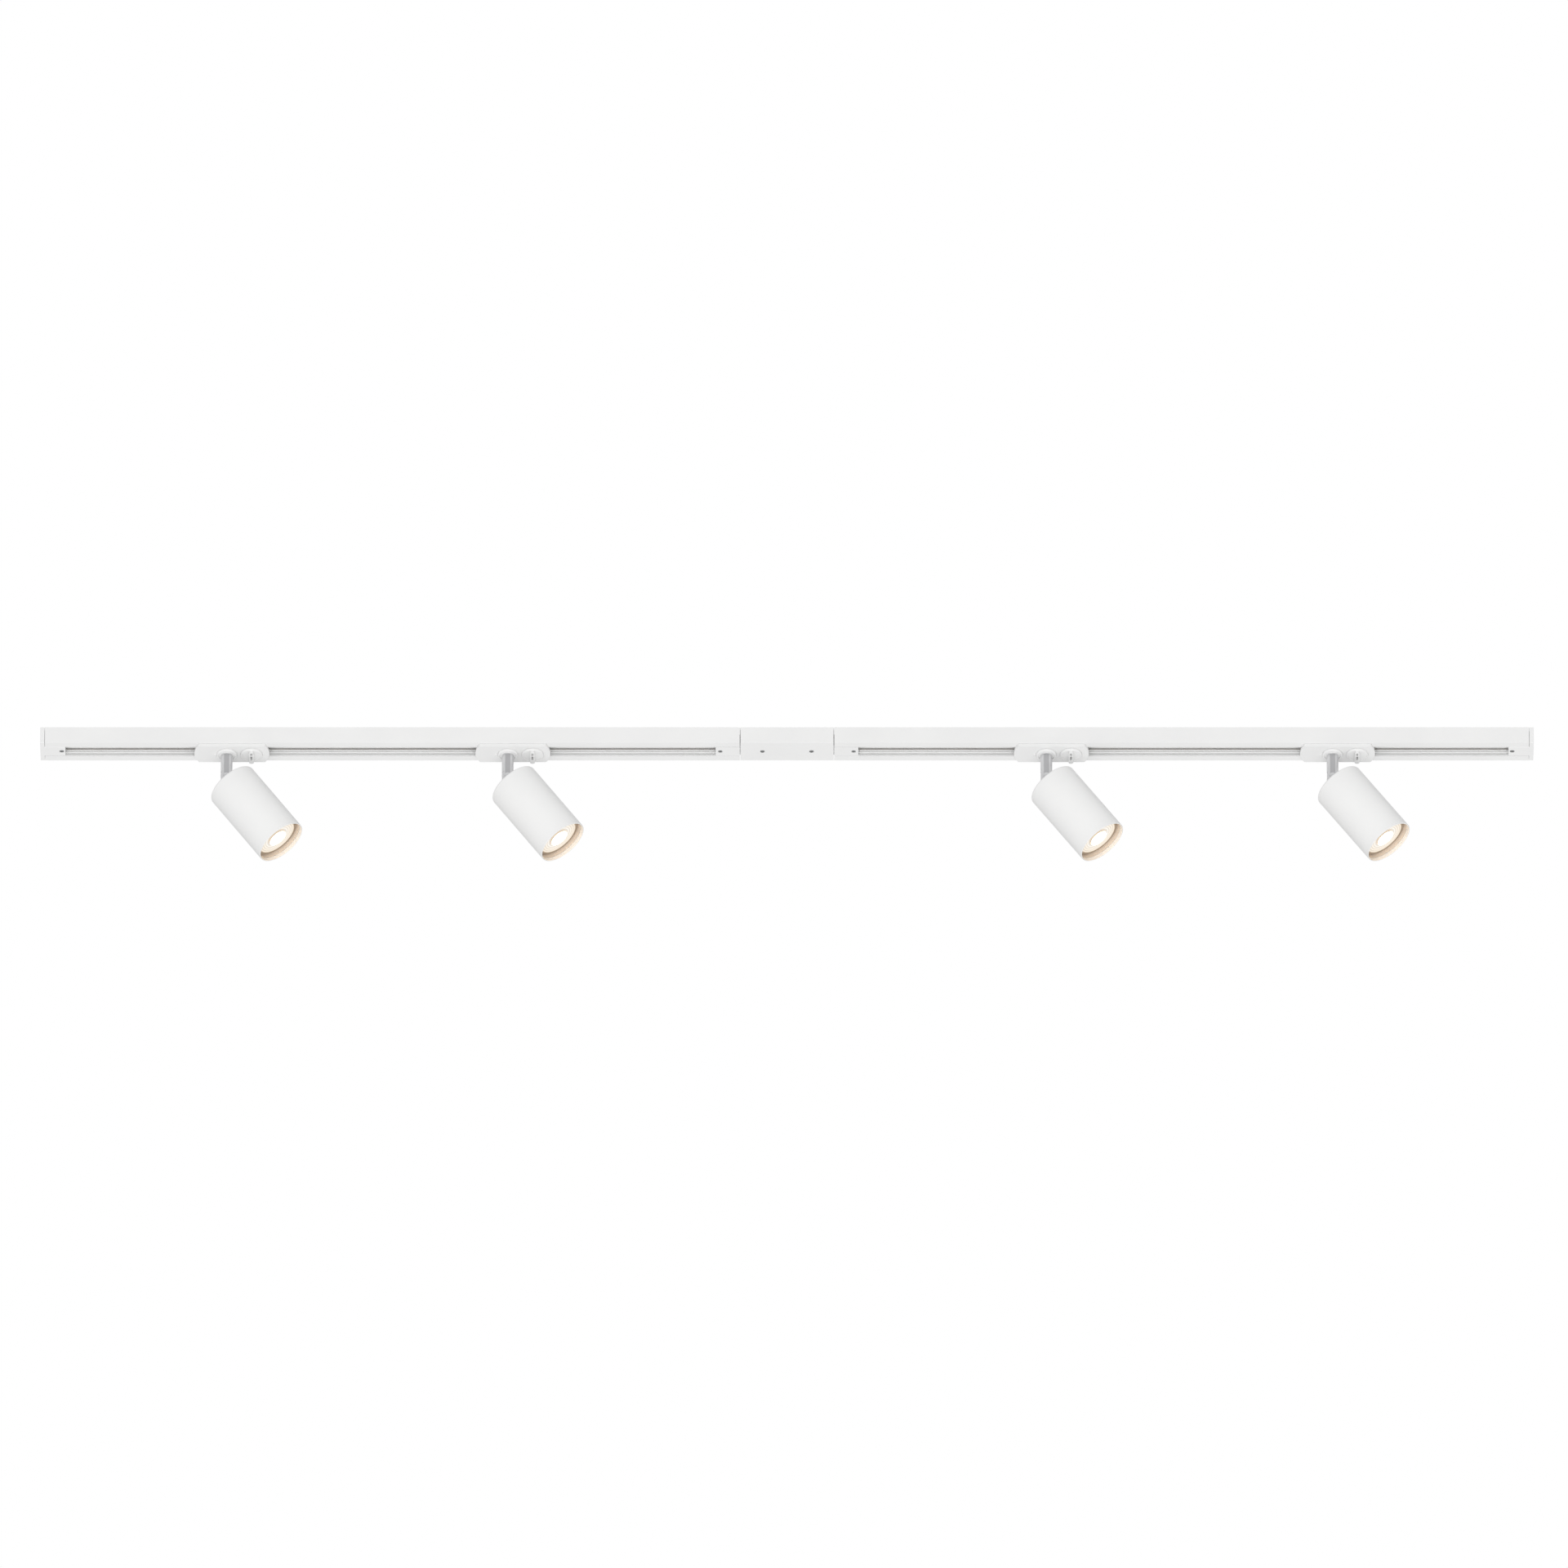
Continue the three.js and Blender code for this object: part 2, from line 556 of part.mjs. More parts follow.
function housing(x) {
  const grooveNear = HOUSING_MOUTH - LIP_GROOVE;
  const shell = turned([
    [0, HOUSING_REAR],
    [HOUSING_RADIUS - REAR_ROUND, HOUSING_REAR],
    [HOUSING_RADIUS - REAR_ROUND * 0.3, HOUSING_REAR + REAR_ROUND * 0.3],
    [HOUSING_RADIUS, HOUSING_REAR + REAR_ROUND],
    [HOUSING_RADIUS, HOUSING_MOUTH - MOUTH_CHAMFER],
    [HOUSING_RADIUS - MOUTH_CHAMFER, HOUSING_MOUTH],
    [HOUSING_BORE, HOUSING_MOUTH],
    [HOUSING_BORE, grooveNear],
    [GROOVE_RADIUS, grooveNear],
    [GROOVE_RADIUS, grooveNear - GROOVE_WIDTH],
    [HOUSING_BORE, grooveNear - GROOVE_WIDTH],
    [HOUSING_BORE, LEDGE_FRONT],
    [LEDGE_BORE, LEDGE_FRONT],
    [LEDGE_BORE, LEDGE_BACK],
    [HOUSING_BORE, LEDGE_BACK],
    [HOUSING_BORE, HOUSING_REAR + REAR_WALL],
    [0, HOUSING_REAR + REAR_WALL],
  ], 32);
  const lugEnd = -HOUSING_REAR - 0.5;
  const lug = box(-LUG_RADIUS, LUG_RADIUS, -LUG_HALF, LUG_HALF, lugEnd, 0);
  const lugEye = crossways(0, 0, -LUG_HALF, LUG_HALF, LUG_RADIUS, 20);
  const pinHole = crossways(0, 0, -LUG_HALF - 1, LUG_HALF + 1, PIN_RADIUS + GAP, 12);
  const { away, radius } = WIRE_HOLE;
  const wireHole = upright(0, away, -HOUSING_REAR - REAR_WALL - 1, -HOUSING_REAR + 1, radius, radius, 12);
  return hung(combine([shell, lug, lugEye], [pinHole, wireHole]), x);
}

// Twist-lock lampholder on a strap bracket from the housing's rear wall.
const PIN_SPACING = 5; // each lamp pin, from the axis
const HOLDER_FACE = LAMP_REAR - 0.4;
const HOLDER_DEPTH = 14;
const HOLDER_RADIUS = 13.5;
const HOLDER_SOCKET = { radius: 3, depth: 10 };
const STRAP = { half: 4, reach: 11.5, leg: 2, foot: 1.5 }; // bracket of the lampholder
function lampholder(x) {
  const foot = HOUSING_REAR + REAR_WALL + GAP;
  const legInner = STRAP.reach - STRAP.leg;
  const added = [
    upright(0, 0, -HOLDER_FACE, -HOLDER_FACE + HOLDER_DEPTH, HOLDER_RADIUS, HOLDER_RADIUS, 20),
    box(-STRAP.reach, STRAP.reach, -STRAP.half, STRAP.half, -foot - STRAP.foot, -foot),
  ];
  const removed = [];
  for (const side of [-1, 1]) {
    const [x0, x1] = [side * legInner, side * STRAP.reach];
    added.push(box(x0, x1, -STRAP.half, STRAP.half, -HOLDER_FACE + 4, -foot - 0.5));
    const [radius, depth] = [HOLDER_SOCKET.radius, HOLDER_SOCKET.depth];
    const socketEnd = -HOLDER_FACE + depth;
    removed.push(upright(0, side * PIN_SPACING, -HOLDER_FACE - 1, socketEnd, radius, radius, 12));
  }
  return hung(combine(added, removed), x);
}

// Reflector lamp with its two twist-lock pins; the front is recessed for the lens.
const LENS_SEAT = 2.2;
const LENS_RADIUS = 23.3;
const LAMP_PIN = { radius: 1.25, headRadius: 2.4, length: 7, headHeight: 2 };
function lamp(x) {
  const body = turned([
    [0, LAMP_REAR],
    [11.5, LAMP_REAR],
    [12.5, LAMP_REAR + 1],
    [12.5, LAMP_REAR + 8],
    [17.5, LAMP_REAR + 14],
    [22.2, LAMP_REAR + 26],
    [24.4, LAMP_REAR + 40],
    [LAMP_RADIUS, LAMP_REAR + 41],
    [LAMP_RADIUS, LAMP_FRONT - 0.4],
    [LAMP_RADIUS - 0.4, LAMP_FRONT],
    [LENS_RADIUS + GAP, LAMP_FRONT],
    [LENS_RADIUS + GAP, LAMP_FRONT - LENS_SEAT],
    [0, LAMP_FRONT - LENS_SEAT],
  ], 24);
  const added = [body];
  for (const sign of [-1, 1]) {
    const y = sign * PIN_SPACING;
    const { radius, headRadius, length, headHeight } = LAMP_PIN;
    const pinEnd = -LAMP_REAR + length;
    added.push(upright(0, y, -LAMP_REAR - 1, pinEnd, radius, radius, 8));
    added.push(upright(0, y, pinEnd - headHeight, pinEnd, headRadius, headRadius, 10));
  }
  return hung(combine(added), x);
}

// Lens: a thin plate with a raised dome in the middle.
const DOME_FOOT = 11;
const DOME_SHOULDER = 10.3;
const DOME_WALL = 1.5;
const DOME_CROWN = 3.3;
function lens(x) {
  const back = LAMP_FRONT - LENS_SEAT + GAP;
  const face = LAMP_FRONT - 0.3;
  return hung(turned([
    [0, back],
    [LENS_RADIUS, back],
    [LENS_RADIUS, face],
    [DOME_FOOT, face],
    [DOME_SHOULDER, LAMP_FRONT + DOME_WALL],
    [DOME_SHOULDER / 2, LAMP_FRONT + DOME_CROWN - 0.3],
    [0, LAMP_FRONT + DOME_CROWN],
  ], 24), x);
}

// ---------------------------------------------------------------- the four spotlights
SPOT_CENTRES.forEach((centre, index) => {
  const number = index + 1;
  const stemX = centre + STEM_OFFSET;
  const leverX = centre + LEVER_OFFSET;
  place(`adapter_${number}`, adapter(centre), WHITE_PLASTIC);
  place(`lock_lever_${number}`, lockLever(leverX), WHITE_PLASTIC);
  place(`live_contact_${number}`, contactBlade(leverX, 1), COPPER);
  place(`neutral_contact_${number}`, contactBlade(leverX, -1), COPPER);
  place(`swivel_fork_${number}`, swivelFork(stemX), SATIN_METAL);
  place(`pivot_pin_${number}`, pivotPin(stemX), ZINC_STEEL);
  place(`housing_${number}`, housing(stemX), WHITE_PAINT);
  place(`lampholder_${number}`, lampholder(stemX), CERAMIC);
  place(`lamp_${number}`, lamp(stemX), REFLECTOR);
  place(`lens_${number}`, lens(stemX), LENS_GLASS);
});

export default fixture;
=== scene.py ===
"""Looks of the track lighting fixture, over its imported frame. Lengths are in metres."""
import json
import math

import bmesh
import bpy
from mathutils import Matrix, Vector


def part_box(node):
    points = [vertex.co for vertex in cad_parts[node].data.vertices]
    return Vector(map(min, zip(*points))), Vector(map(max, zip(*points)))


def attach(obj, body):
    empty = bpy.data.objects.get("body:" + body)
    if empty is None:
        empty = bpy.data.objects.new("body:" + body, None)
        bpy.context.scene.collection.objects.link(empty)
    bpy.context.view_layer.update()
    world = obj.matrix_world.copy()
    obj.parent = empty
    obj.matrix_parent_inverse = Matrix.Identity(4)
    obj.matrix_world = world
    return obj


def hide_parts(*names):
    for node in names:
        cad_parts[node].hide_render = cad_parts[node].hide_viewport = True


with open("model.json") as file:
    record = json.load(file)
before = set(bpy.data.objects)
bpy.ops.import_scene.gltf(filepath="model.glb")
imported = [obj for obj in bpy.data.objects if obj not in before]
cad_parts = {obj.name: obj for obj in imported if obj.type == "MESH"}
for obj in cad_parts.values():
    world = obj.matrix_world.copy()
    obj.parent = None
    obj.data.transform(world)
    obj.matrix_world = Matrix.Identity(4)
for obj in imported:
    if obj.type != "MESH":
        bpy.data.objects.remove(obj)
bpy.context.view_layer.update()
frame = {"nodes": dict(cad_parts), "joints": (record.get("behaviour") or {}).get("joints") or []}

scene = bpy.context.scene
MM = 0.001

# ------------------------------------------------------------ places, from the frame
JOINTS = {joint["name"]: joint for joint in frame["joints"]}
SPOTS = (1, 2, 3, 4)
HEAD_TILT = math.radians(36)  # from straight down, toward +X
RAIL_LOW, RAIL_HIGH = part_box("left_rail")
RAIL_HALF_WIDTH = RAIL_HIGH.y
UNDERSIDE = RAIL_LOW.z


def stem_x(number):
    return JOINTS[f"spot_{number}_pan"]["pos_m"][0]


def lever_x(number):
    return JOINTS[f"spot_{number}_lock"]["pos_m"][0]


def pivot(number):
    return Vector(JOINTS[f"spot_{number}_tilt"]["pos_m"])


def head_place(number):
    """Local +Z runs from the tilt pivot out through the lamp's mouth."""
    down_and_tilted = Matrix.Rotation(math.pi - HEAD_TILT, 4, "Y")
    return Matrix.Translation(pivot(number)) @ down_and_tilted


# ------------------------------------------------------------ mesh tools
def shade(obj, degrees=32):
    """Smooth shading, with edges sharper than this kept hard."""
    for polygon in obj.data.polygons:
        polygon.use_smooth = True
    obj.data.set_sharp_from_angle(angle=math.radians(degrees))


def mesh_object(name, points, faces):
    """A new closed object with its faces turned outward."""
    mesh = bpy.data.meshes.new(name)
    mesh.from_pydata(points, [], faces)
    form = bmesh.new()
    form.from_mesh(mesh)
    bmesh.ops.recalc_face_normals(form, faces=form.faces)
    form.to_mesh(mesh)
    form.free()
    obj = bpy.data.objects.new(name, mesh)
    scene.collection.objects.link(obj)
    shade(obj)
    return obj


def revolve(name, profile, segments=96):
    """Turns (radius, height) points about +Z. A profile that leaves the axis closes on itself."""
    points = []
    rings = []
    for radius, height in profile:
        count = 1 if radius == 0 else segments
        rings.append([len(points) + k for k in range(count)])
        for k in range(count):
            angle = math.tau * k / segments
            points.append((radius * math.cos(angle), radius * math.sin(angle), height))
    pairs = list(zip(rings, rings[1:]))
    if profile[0][0] > 0:
        pairs.append((rings[-1], rings[0]))
    faces = []
    for low, high in pairs:
        for k in range(segments):
            after = (k + 1) % segments
            corners = [low[k % len(low)], low[after % len(low)], high[after % len(high)], high[k % len(high)]]
            faces.append(list(dict.fromkeys(corners)))
    return mesh_object(name, points, [face for face in faces if len(face) > 2])


def prism(name, outline, low, high, axis="Z"):
    """Raises an outline along an axis: (x, y) along Z, (y, z) along X, or (x, z) along Y."""
    order = {"X": lambda u, v, w: (w, u, v), "Y": lambda u, v, w: (u, w, v), "Z": lambda u, v, w: (u, v, w)}
    count = len(outline)
    points = [order[axis](u, v, w) for w in (low, high) for u, v in outline]
    faces = [list(range(count)), list(range(count, 2 * count))]
    for k in range(count):
        after = (k + 1) % count
        faces.append([k, after, after + count, k + count])
    return mesh_object(name, points, faces)


def block(name, x0, x1, y0, y1, z0, z1):
    return prism(name, [(x0, y0), (x1, y0), (x1, y1), (x0, y1)], z0, z1)


def circle(u, v, radius, segments):
    return [
        (u + radius * math.cos(math.tau * k / segments), v + radius * math.sin(math.tau * k / segments))
        for k in range(segments)
    ]


def drum(name, x, y, radius, z0, z1, segments=48):
    return prism(name, circle(x, y, radius, segments), z0, z1)


def mirrored(half):
    """Whole outline from its half with the first coordinate positive."""
    return half + [(-u, v) for u, v in reversed(half)]


def settle(obj):
    """Turns the modifiers into mesh."""
    depsgraph = bpy.context.evaluated_depsgraph_get()
    mesh = bpy.data.meshes.new_from_object(obj.evaluated_get(depsgraph))
    obj.modifiers.clear()
    obj.data = mesh


def combine(obj, others, operation):
    for other in others:
        step = obj.modifiers.new("combine", "BOOLEAN")
        step.operation = operation
        step.solver = "EXACT"
        step.object = other
    settle(obj)
    for other in others:
        bpy.data.objects.remove(other)
    shade(obj)
    return obj


def carve(obj, *cutters):
    return combine(obj, cutters, "DIFFERENCE")


def join(obj, *others):
    return combine(obj, others, "UNION")


def soften(obj, width, steps=3):
    """Rounds the hard edges and keeps the flats flat."""
    bevel = obj.modifiers.new("rounded edges", "BEVEL")
    bevel.width = width
    bevel.segments = steps
    bevel.limit_method = "ANGLE"
    bevel.angle_limit = math.radians(34)
    bevel.use_clamp_overlap = True
    flats = obj.modifiers.new("flat faces", "WEIGHTED_NORMAL")
    flats.keep_sharp = True
    flats.weight = 80
    return obj


def finish_piece(obj, body, material, stands_for=None, place=None):
    """Puts a piece in its place on its body and its material."""
    if place is not None:
        obj.matrix_world = place
    obj.data.materials.clear()
    obj.data.materials.append(material)
    if stands_for:
        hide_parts(stands_for)
    bpy.context.view_layer.update()
    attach(obj, body)


# ------------------------------------------------------------ materials
def noise(tree, scale_mm, detail=2.0, stretch=(1, 1, 1)):
    """Noise whose features are about scale_mm across, in the object's own space."""
    coordinates = tree.nodes.new("ShaderNodeTexCoord")
    mapping = tree.nodes.new("ShaderNodeMapping")
    mapping.inputs["Scale"].default_value = stretch
    texture = tree.nodes.new("ShaderNodeTexNoise")
    texture.inputs["Scale"].default_value = 1 / (scale_mm * MM)
    texture.inputs["Detail"].default_value = detail
    tree.links.new(coordinates.outputs["Object"], mapping.inputs["Vector"])
    tree.links.new(mapping.outputs["Vector"], texture.inputs["Vector"])
    return texture.outputs["Fac"]


def span(tree, value, low, high, start=0.3, end=0.7):
    """Maps start..end onto low..high. The usual start and end are those of noise."""
    node = tree.nodes.new("ShaderNodeMapRange")
    node.inputs["From Min"].default_value = start
    node.inputs["From Max"].default_value = end
    node.inputs["To Min"].default_value = low
    node.inputs["To Max"].default_value = high
    tree.links.new(value, node.inputs["Value"])
    return node.outputs["Result"]


def blend_colours(tree, factor, first, second):
    node = tree.nodes.new("ShaderNodeMix")
    node.data_type = "RGBA"
    node.inputs["A"].default_value = (*first, 1)
    node.inputs["B"].default_value = (*second, 1)
    tree.links.new(factor, node.inputs["Factor"])
    return node.outputs["Result"]


def colour_ramp(tree, factor, stops):
    """Colours along a factor from 0 to 1, given in order as (position, colour)."""
    node = tree.nodes.new("ShaderNodeValToRGB")
    elements = node.color_ramp.elements
    elements.remove(elements[1])
    elements[0].position = stops[0][0]
    elements[0].color = (*stops[0][1], 1)
    for position, colour in stops[1:]:
        elements.new(position).color = (*colour, 1)
    tree.links.new(factor, node.inputs["Fac"])
    return node.outputs["Color"]


def bump(tree, layers):
    """Stacks bumps given as (height, depth in metres) and returns the last normal."""
    normal = None
    for height, depth in layers:
        node = tree.nodes.new("ShaderNodeBump")
        node.inputs["Distance"].default_value = depth
        tree.links.new(height, node.inputs["Height"])
        if normal is not None:
            tree.links.new(normal, node.inputs["Normal"])
        normal = node.outputs["Normal"]
    return normal


def new_material(name):
    material = bpy.data.materials.new(name)
    material.use_nodes = True
    tree = material.node_tree
    return material, tree, tree.nodes["Principled BSDF"]


def grained(name, colour, dusk, roughness, grain, metallic=0.0, stretch=(1, 1, 1), drift_mm=60, coat=0.0):
    """Surface with fine grain, slow drift in colour from colour to dusk, and uneven roughness.

    grain is a list of (feature size in mm, depth in metres). roughness is (least, most).
    """
    material, tree, shader = new_material(name)
    drift = noise(tree, drift_mm, 3.0)
    handling = noise(tree, 9, 4.0, stretch)
    tree.links.new(blend_colours(tree, span(tree, drift, 0, 1), colour, dusk), shader.inputs["Base Color"])
    tree.links.new(span(tree, handling, *roughness), shader.inputs["Roughness"])
    layers = [(noise(tree, size, 2.0, stretch), depth) for size, depth in grain]
    tree.links.new(bump(tree, layers), shader.inputs["Normal"])
    shader.inputs["Metallic"].default_value = metallic
    shader.inputs["Coat Weight"].default_value = coat
    shader.inputs["Coat Roughness"].default_value = 0.25
    return material


def distance_from_axis(tree):
    """How far a point is from the object's own Z axis."""
    coordinates = tree.nodes.new("ShaderNodeTexCoord")
    across = tree.nodes.new("ShaderNodeVectorMath")
    across.operation = "MULTIPLY"
    across.inputs[1].default_value = (1, 1, 0)
    radius = tree.nodes.new("ShaderNodeVectorMath")
    radius.operation = "LENGTH"
    tree.links.new(coordinates.outputs["Object"], across.inputs[0])
    tree.links.new(across.outputs["Vector"], radius.inputs[0])
    return radius.outputs["Value"]


def lens_ring_material(name, inner_radius, outer_radius):
    """Lit outer ring of the lens, with fine moulded circles that darken toward its edges."""
    material, tree, shader = new_material(name)
    distance = distance_from_axis(tree)
    tone = colour_ramp(tree, span(tree, distance, 0, 1, inner_radius, outer_radius), [
        (0.0, (0.60, 0.47, 0.35)),
        (0.06, (0.74, 0.62, 0.50)),
        (0.13, (1.0, 0.96, 0.90)),
        (0.45, (1.0, 0.92, 0.81)),
        (0.85, (0.95, 0.85, 0.72)),
        (1.0, (0.50, 0.36, 0.23)),
    ])
    circle_count = 5
    circles = tree.nodes.new("ShaderNodeMath")
    circles.operation = "SINE"
    turn = span(tree, distance, 0, circle_count * math.tau, inner_radius, outer_radius)
    tree.links.new(turn, circles.inputs[0])
    tree.links.new(tone, shader.inputs["Emission Color"])
    glow = span(tree, circles.outputs["Value"], 0.66, 0.90, -1, 1)
    tree.links.new(glow, shader.inputs["Emission Strength"])
    tree.links.new(bump(tree, [(noise(tree, 1.1, 2.0), 0.00004)]), shader.inputs["Normal"])
    shader.inputs["Base Color"].default_value = (0.10, 0.09, 0.075, 1)
    shader.inputs["Roughness"].default_value = 0.25
    return material


def lens_dome_material(name):
    """Glowing middle of the lens. Its light is even, so the surface grain is all that varies."""
    material, tree, shader = new_material(name)
    grain = noise(tree, 1.5, 3.0)
    tree.links.new(span(tree, grain, 0.18, 0.34), shader.inputs["Roughness"])
    tree.links.new(bump(tree, [(grain, 0.00003)]), shader.inputs["Normal"])
    shader.inputs["Base Color"].default_value = (0.30, 0.26, 0.20, 1)
    shader.inputs["Emission Color"].default_value = (1.0, 0.74, 0.47, 1)
    shader.inputs["Emission Strength"].default_value = 7
    material.cycles.emission_sampling = "FRONT"
    return material


def post_material_with_painted_light(name, channel_half):
    """Satin grey metal in two painted tones: its two channels, near the post's middle plane, darker and
    duller as painted shade, and the metal outside them lighter as painted highlights.
    """
    material, tree, shader = new_material(name)
    coordinates = tree.nodes.new("ShaderNodeTexCoord")
    split = tree.nodes.new("ShaderNodeSeparateXYZ")
    tree.links.new(coordinates.outputs["Object"], split.inputs["Vector"])
    sideways = tree.nodes.new("ShaderNodeMath")
    sideways.operation = "ABSOLUTE"
    tree.links.new(split.outputs["X"], sideways.inputs[0])
    # Mask for the painted two-tone: 0 in the channels (painted shade), 1 outside them (painted highlight).
    painted_highlight_mask = span(tree, sideways.outputs["Value"], 0, 1, channel_half * 0.9, channel_half * 1.15)
    upright_grain = noise(tree, 0.9, 3.0, (1, 1, 0.05))
    # Lighter painted-highlight grey for the metal outside the channels, with upright grain.
    bright = blend_colours(tree, span(tree, upright_grain, 0, 1), (0.80, 0.80, 0.81), (0.74, 0.74, 0.75))
    tone = tree.nodes.new("ShaderNodeMix")
    tone.data_type = "RGBA"
    # The channels' darker grey is painted shade.
    tone.inputs["A"].default_value = (0.58, 0.58, 0.59, 1)
    tree.links.new(painted_highlight_mask, tone.inputs["Factor"])
    tree.links.new(bright, tone.inputs["B"])
    tree.links.new(tone.outputs["Result"], shader.inputs["Base Color"])
    tree.links.new(span(tree, painted_highlight_mask, 0.55, 0.32, 0, 1), shader.inputs["Roughness"])
    tree.links.new(bump(tree, [(upright_grain, 0.000005)]), shader.inputs["Normal"])
    shader.inputs["Metallic"].default_value = 0.85
    return material


COAT = (0.83, 0.83, 0.825)
COAT_DUSK = (0.80, 0.80, 0.797)
COAT_ROUGHNESS = (0.46, 0.60)
COAT_GRAIN = [(0.9, 0.000012), (0.22, 0.000003)]
# Painted light inside the mouth: dark brown painted shade on the ledge, warm painted lamp light on the
# lining, a fainter warm painted lamp light at the edge.
LEDGE_PAINTED_SHADE = (0.46, 0.36, 0.27)
LINING_PAINTED_LAMPLIGHT = (0.76, 0.65, 0.54)
MOUTH_EDGE_PAINTED_LAMPLIGHT = (0.80, 0.76, 0.71)


def can_paint_with_painted_light_material(name, bore, ledge_back, ledge_front, ring_place):
    """White powder coat outside. Inside the mouth the colour holds painted light: the ledge dark brown as
    painted shade, then the lining warm as painted lamp light, fading toward the edge.
    """
    material, tree, shader = new_material(name)
    coordinates = tree.nodes.new("ShaderNodeTexCoord")
    split = tree.nodes.new("ShaderNodeSeparateXYZ")
    tree.links.new(coordinates.outputs["Object"], split.inputs["Vector"])
    start = ledge_back - MM
    along = span(tree, split.outputs["Z"], 0, 1, start, ring_place)
    ledge = (ledge_back - start) / (ring_place - start)
    wall = (ledge_front - start) / (ring_place - start)
    # Painted shade on the ledge, then painted warm lamp light along the lining, fading toward the mouth's
    # edge.
    painted_lamplight_and_shade = colour_ramp(tree, along, [
        (0.0, COAT),
        (ledge, LEDGE_PAINTED_SHADE),
        (wall, LEDGE_PAINTED_SHADE),
        (wall + 0.07, LINING_PAINTED_LAMPLIGHT),
        (0.9, LINING_PAINTED_LAMPLIGHT),
        (1.0, MOUTH_EDGE_PAINTED_LAMPLIGHT),
    ])
    paint = blend_colours(tree, span(tree, noise(tree, 60, 3.0), 0, 1), COAT, COAT_DUSK)
    coat = tree.nodes.new("ShaderNodeMix")
    coat.data_type = "RGBA"
    inside = span(tree, distance_from_axis(tree), 1, 0, bore + 0.2 * MM, bore + 0.4 * MM)
    tree.links.new(inside, coat.inputs["Factor"])
    tree.links.new(paint, coat.inputs["A"])
    tree.links.new(painted_lamplight_and_shade, coat.inputs["B"])
    tree.links.new(coat.outputs["Result"], shader.inputs["Base Color"])
    tree.links.new(span(tree, noise(tree, 9, 4.0), *COAT_ROUGHNESS), shader.inputs["Roughness"])
    layers = [(noise(tree, size, 2.0), depth) for size, depth in COAT_GRAIN]
    tree.links.new(bump(tree, layers), shader.inputs["Normal"])
    return material


WHITE_PAINT = grained("white_powder_coat", COAT, COAT_DUSK, COAT_ROUGHNESS, COAT_GRAIN)
WHITE_PLASTIC = grained(
    "white_moulded_plastic", (0.83, 0.83, 0.825), (0.80, 0.80, 0.797), (0.40, 0.56),
    [(0.35, 0.000006), (3.0, 0.00001)],
)
LINER_PLASTIC = grained(
    "liner_plastic", (0.95, 0.95, 0.945), (0.93, 0.93, 0.925), (0.45, 0.62),
    [(0.5, 0.000006), (6.0, 0.00002)], stretch=(0.05, 1, 1),
)
PIN_STEEL = grained(
    "bright_pin_steel", (0.78, 0.78, 0.78), (0.70, 0.71, 0.72), (0.24, 0.38),
    [(0.3, 0.000005)], metallic=0.9, drift_mm=3,
)
# Zinc-plated steel, made darker than its own grey: the dark tone is partly painted shade for the screw
# recesses.
ZINC_STEEL_WITH_PAINTED_SHADE = grained(
    "zinc_plated_steel_with_painted_shade", (0.40, 0.40, 0.39), (0.33, 0.34, 0.35), (0.30, 0.48),
    [(0.3, 0.000006)], metallic=1.0, drift_mm=3,
)
LACQUERED_STEEL = grained(
    "lacquered_spring_wire", (0.74, 0.68, 0.60), (0.68, 0.62, 0.54), (0.40, 0.55),
    [(0.3, 0.000004)], metallic=0.3, drift_mm=5,
)
# Tinned copper, made darker than its own grey: the dark tone is partly painted shade for the slot around the
# conductors.
TINNED_COPPER_WITH_PAINTED_SHADE = grained(
    "tinned_copper_strip_with_painted_shade", (0.29, 0.26, 0.23), (0.22, 0.19, 0.17), (0.28, 0.45),
    [(0.3, 0.000006)], metallic=1.0, stretch=(0.05, 1, 1), drift_mm=25,
)
CERAMIC = grained(
    "glazed_porcelain", (0.78, 0.75, 0.69), (0.72, 0.69, 0.63), (0.24, 0.40),
    [(0.8, 0.00001), (0.2, 0.000004)], coat=0.3,
)
LAMP_RIM = grained(
    "lamp_rim", (0.46, 0.39, 0.31), (0.40, 0.33, 0.26), (0.38, 0.52),
    [(0.4, 0.000008)], metallic=0.3, drift_mm=8,
)

# ------------------------------------------------------------ rails and liners
LIP = 2.7 * MM
SLOT_HALF = 9 * MM
WALL = 1.6 * MM
FIXING_INSETS = (60 * MM, 375 * MM, 690 * MM)


def rail_outline():
    inner = RAIL_HALF_WIDTH - WALL
    return mirrored([
        (RAIL_HALF_WIDTH, 0),
        (RAIL_HALF_WIDTH, UNDERSIDE),
        (SLOT_HALF, UNDERSIDE),
        (SLOT_HALF, UNDERSIDE + LIP),
        (inner, UNDERSIDE + LIP),
        (inner, -WALL),
    ])


def fixing_holes(side, sign, radius):
    low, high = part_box(f"{side}_rail")
    start = low.x if sign > 0 else high.x
    return [drum("cutter", start + sign * inset, 0, radius, -5 * MM, MM, 40) for inset in FIXING_INSETS]


def make_rail(side, sign):
    low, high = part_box(f"{side}_rail")
    rail = prism(f"{side}_rail_extrusion", rail_outline(), low.x, high.x, "X")
    carve(rail, *fixing_holes(side, sign, 2.4 * MM))
    soften(rail, 0.45 * MM)
    finish_piece(rail, "track", WHITE_PAINT, f"{side}_rail")


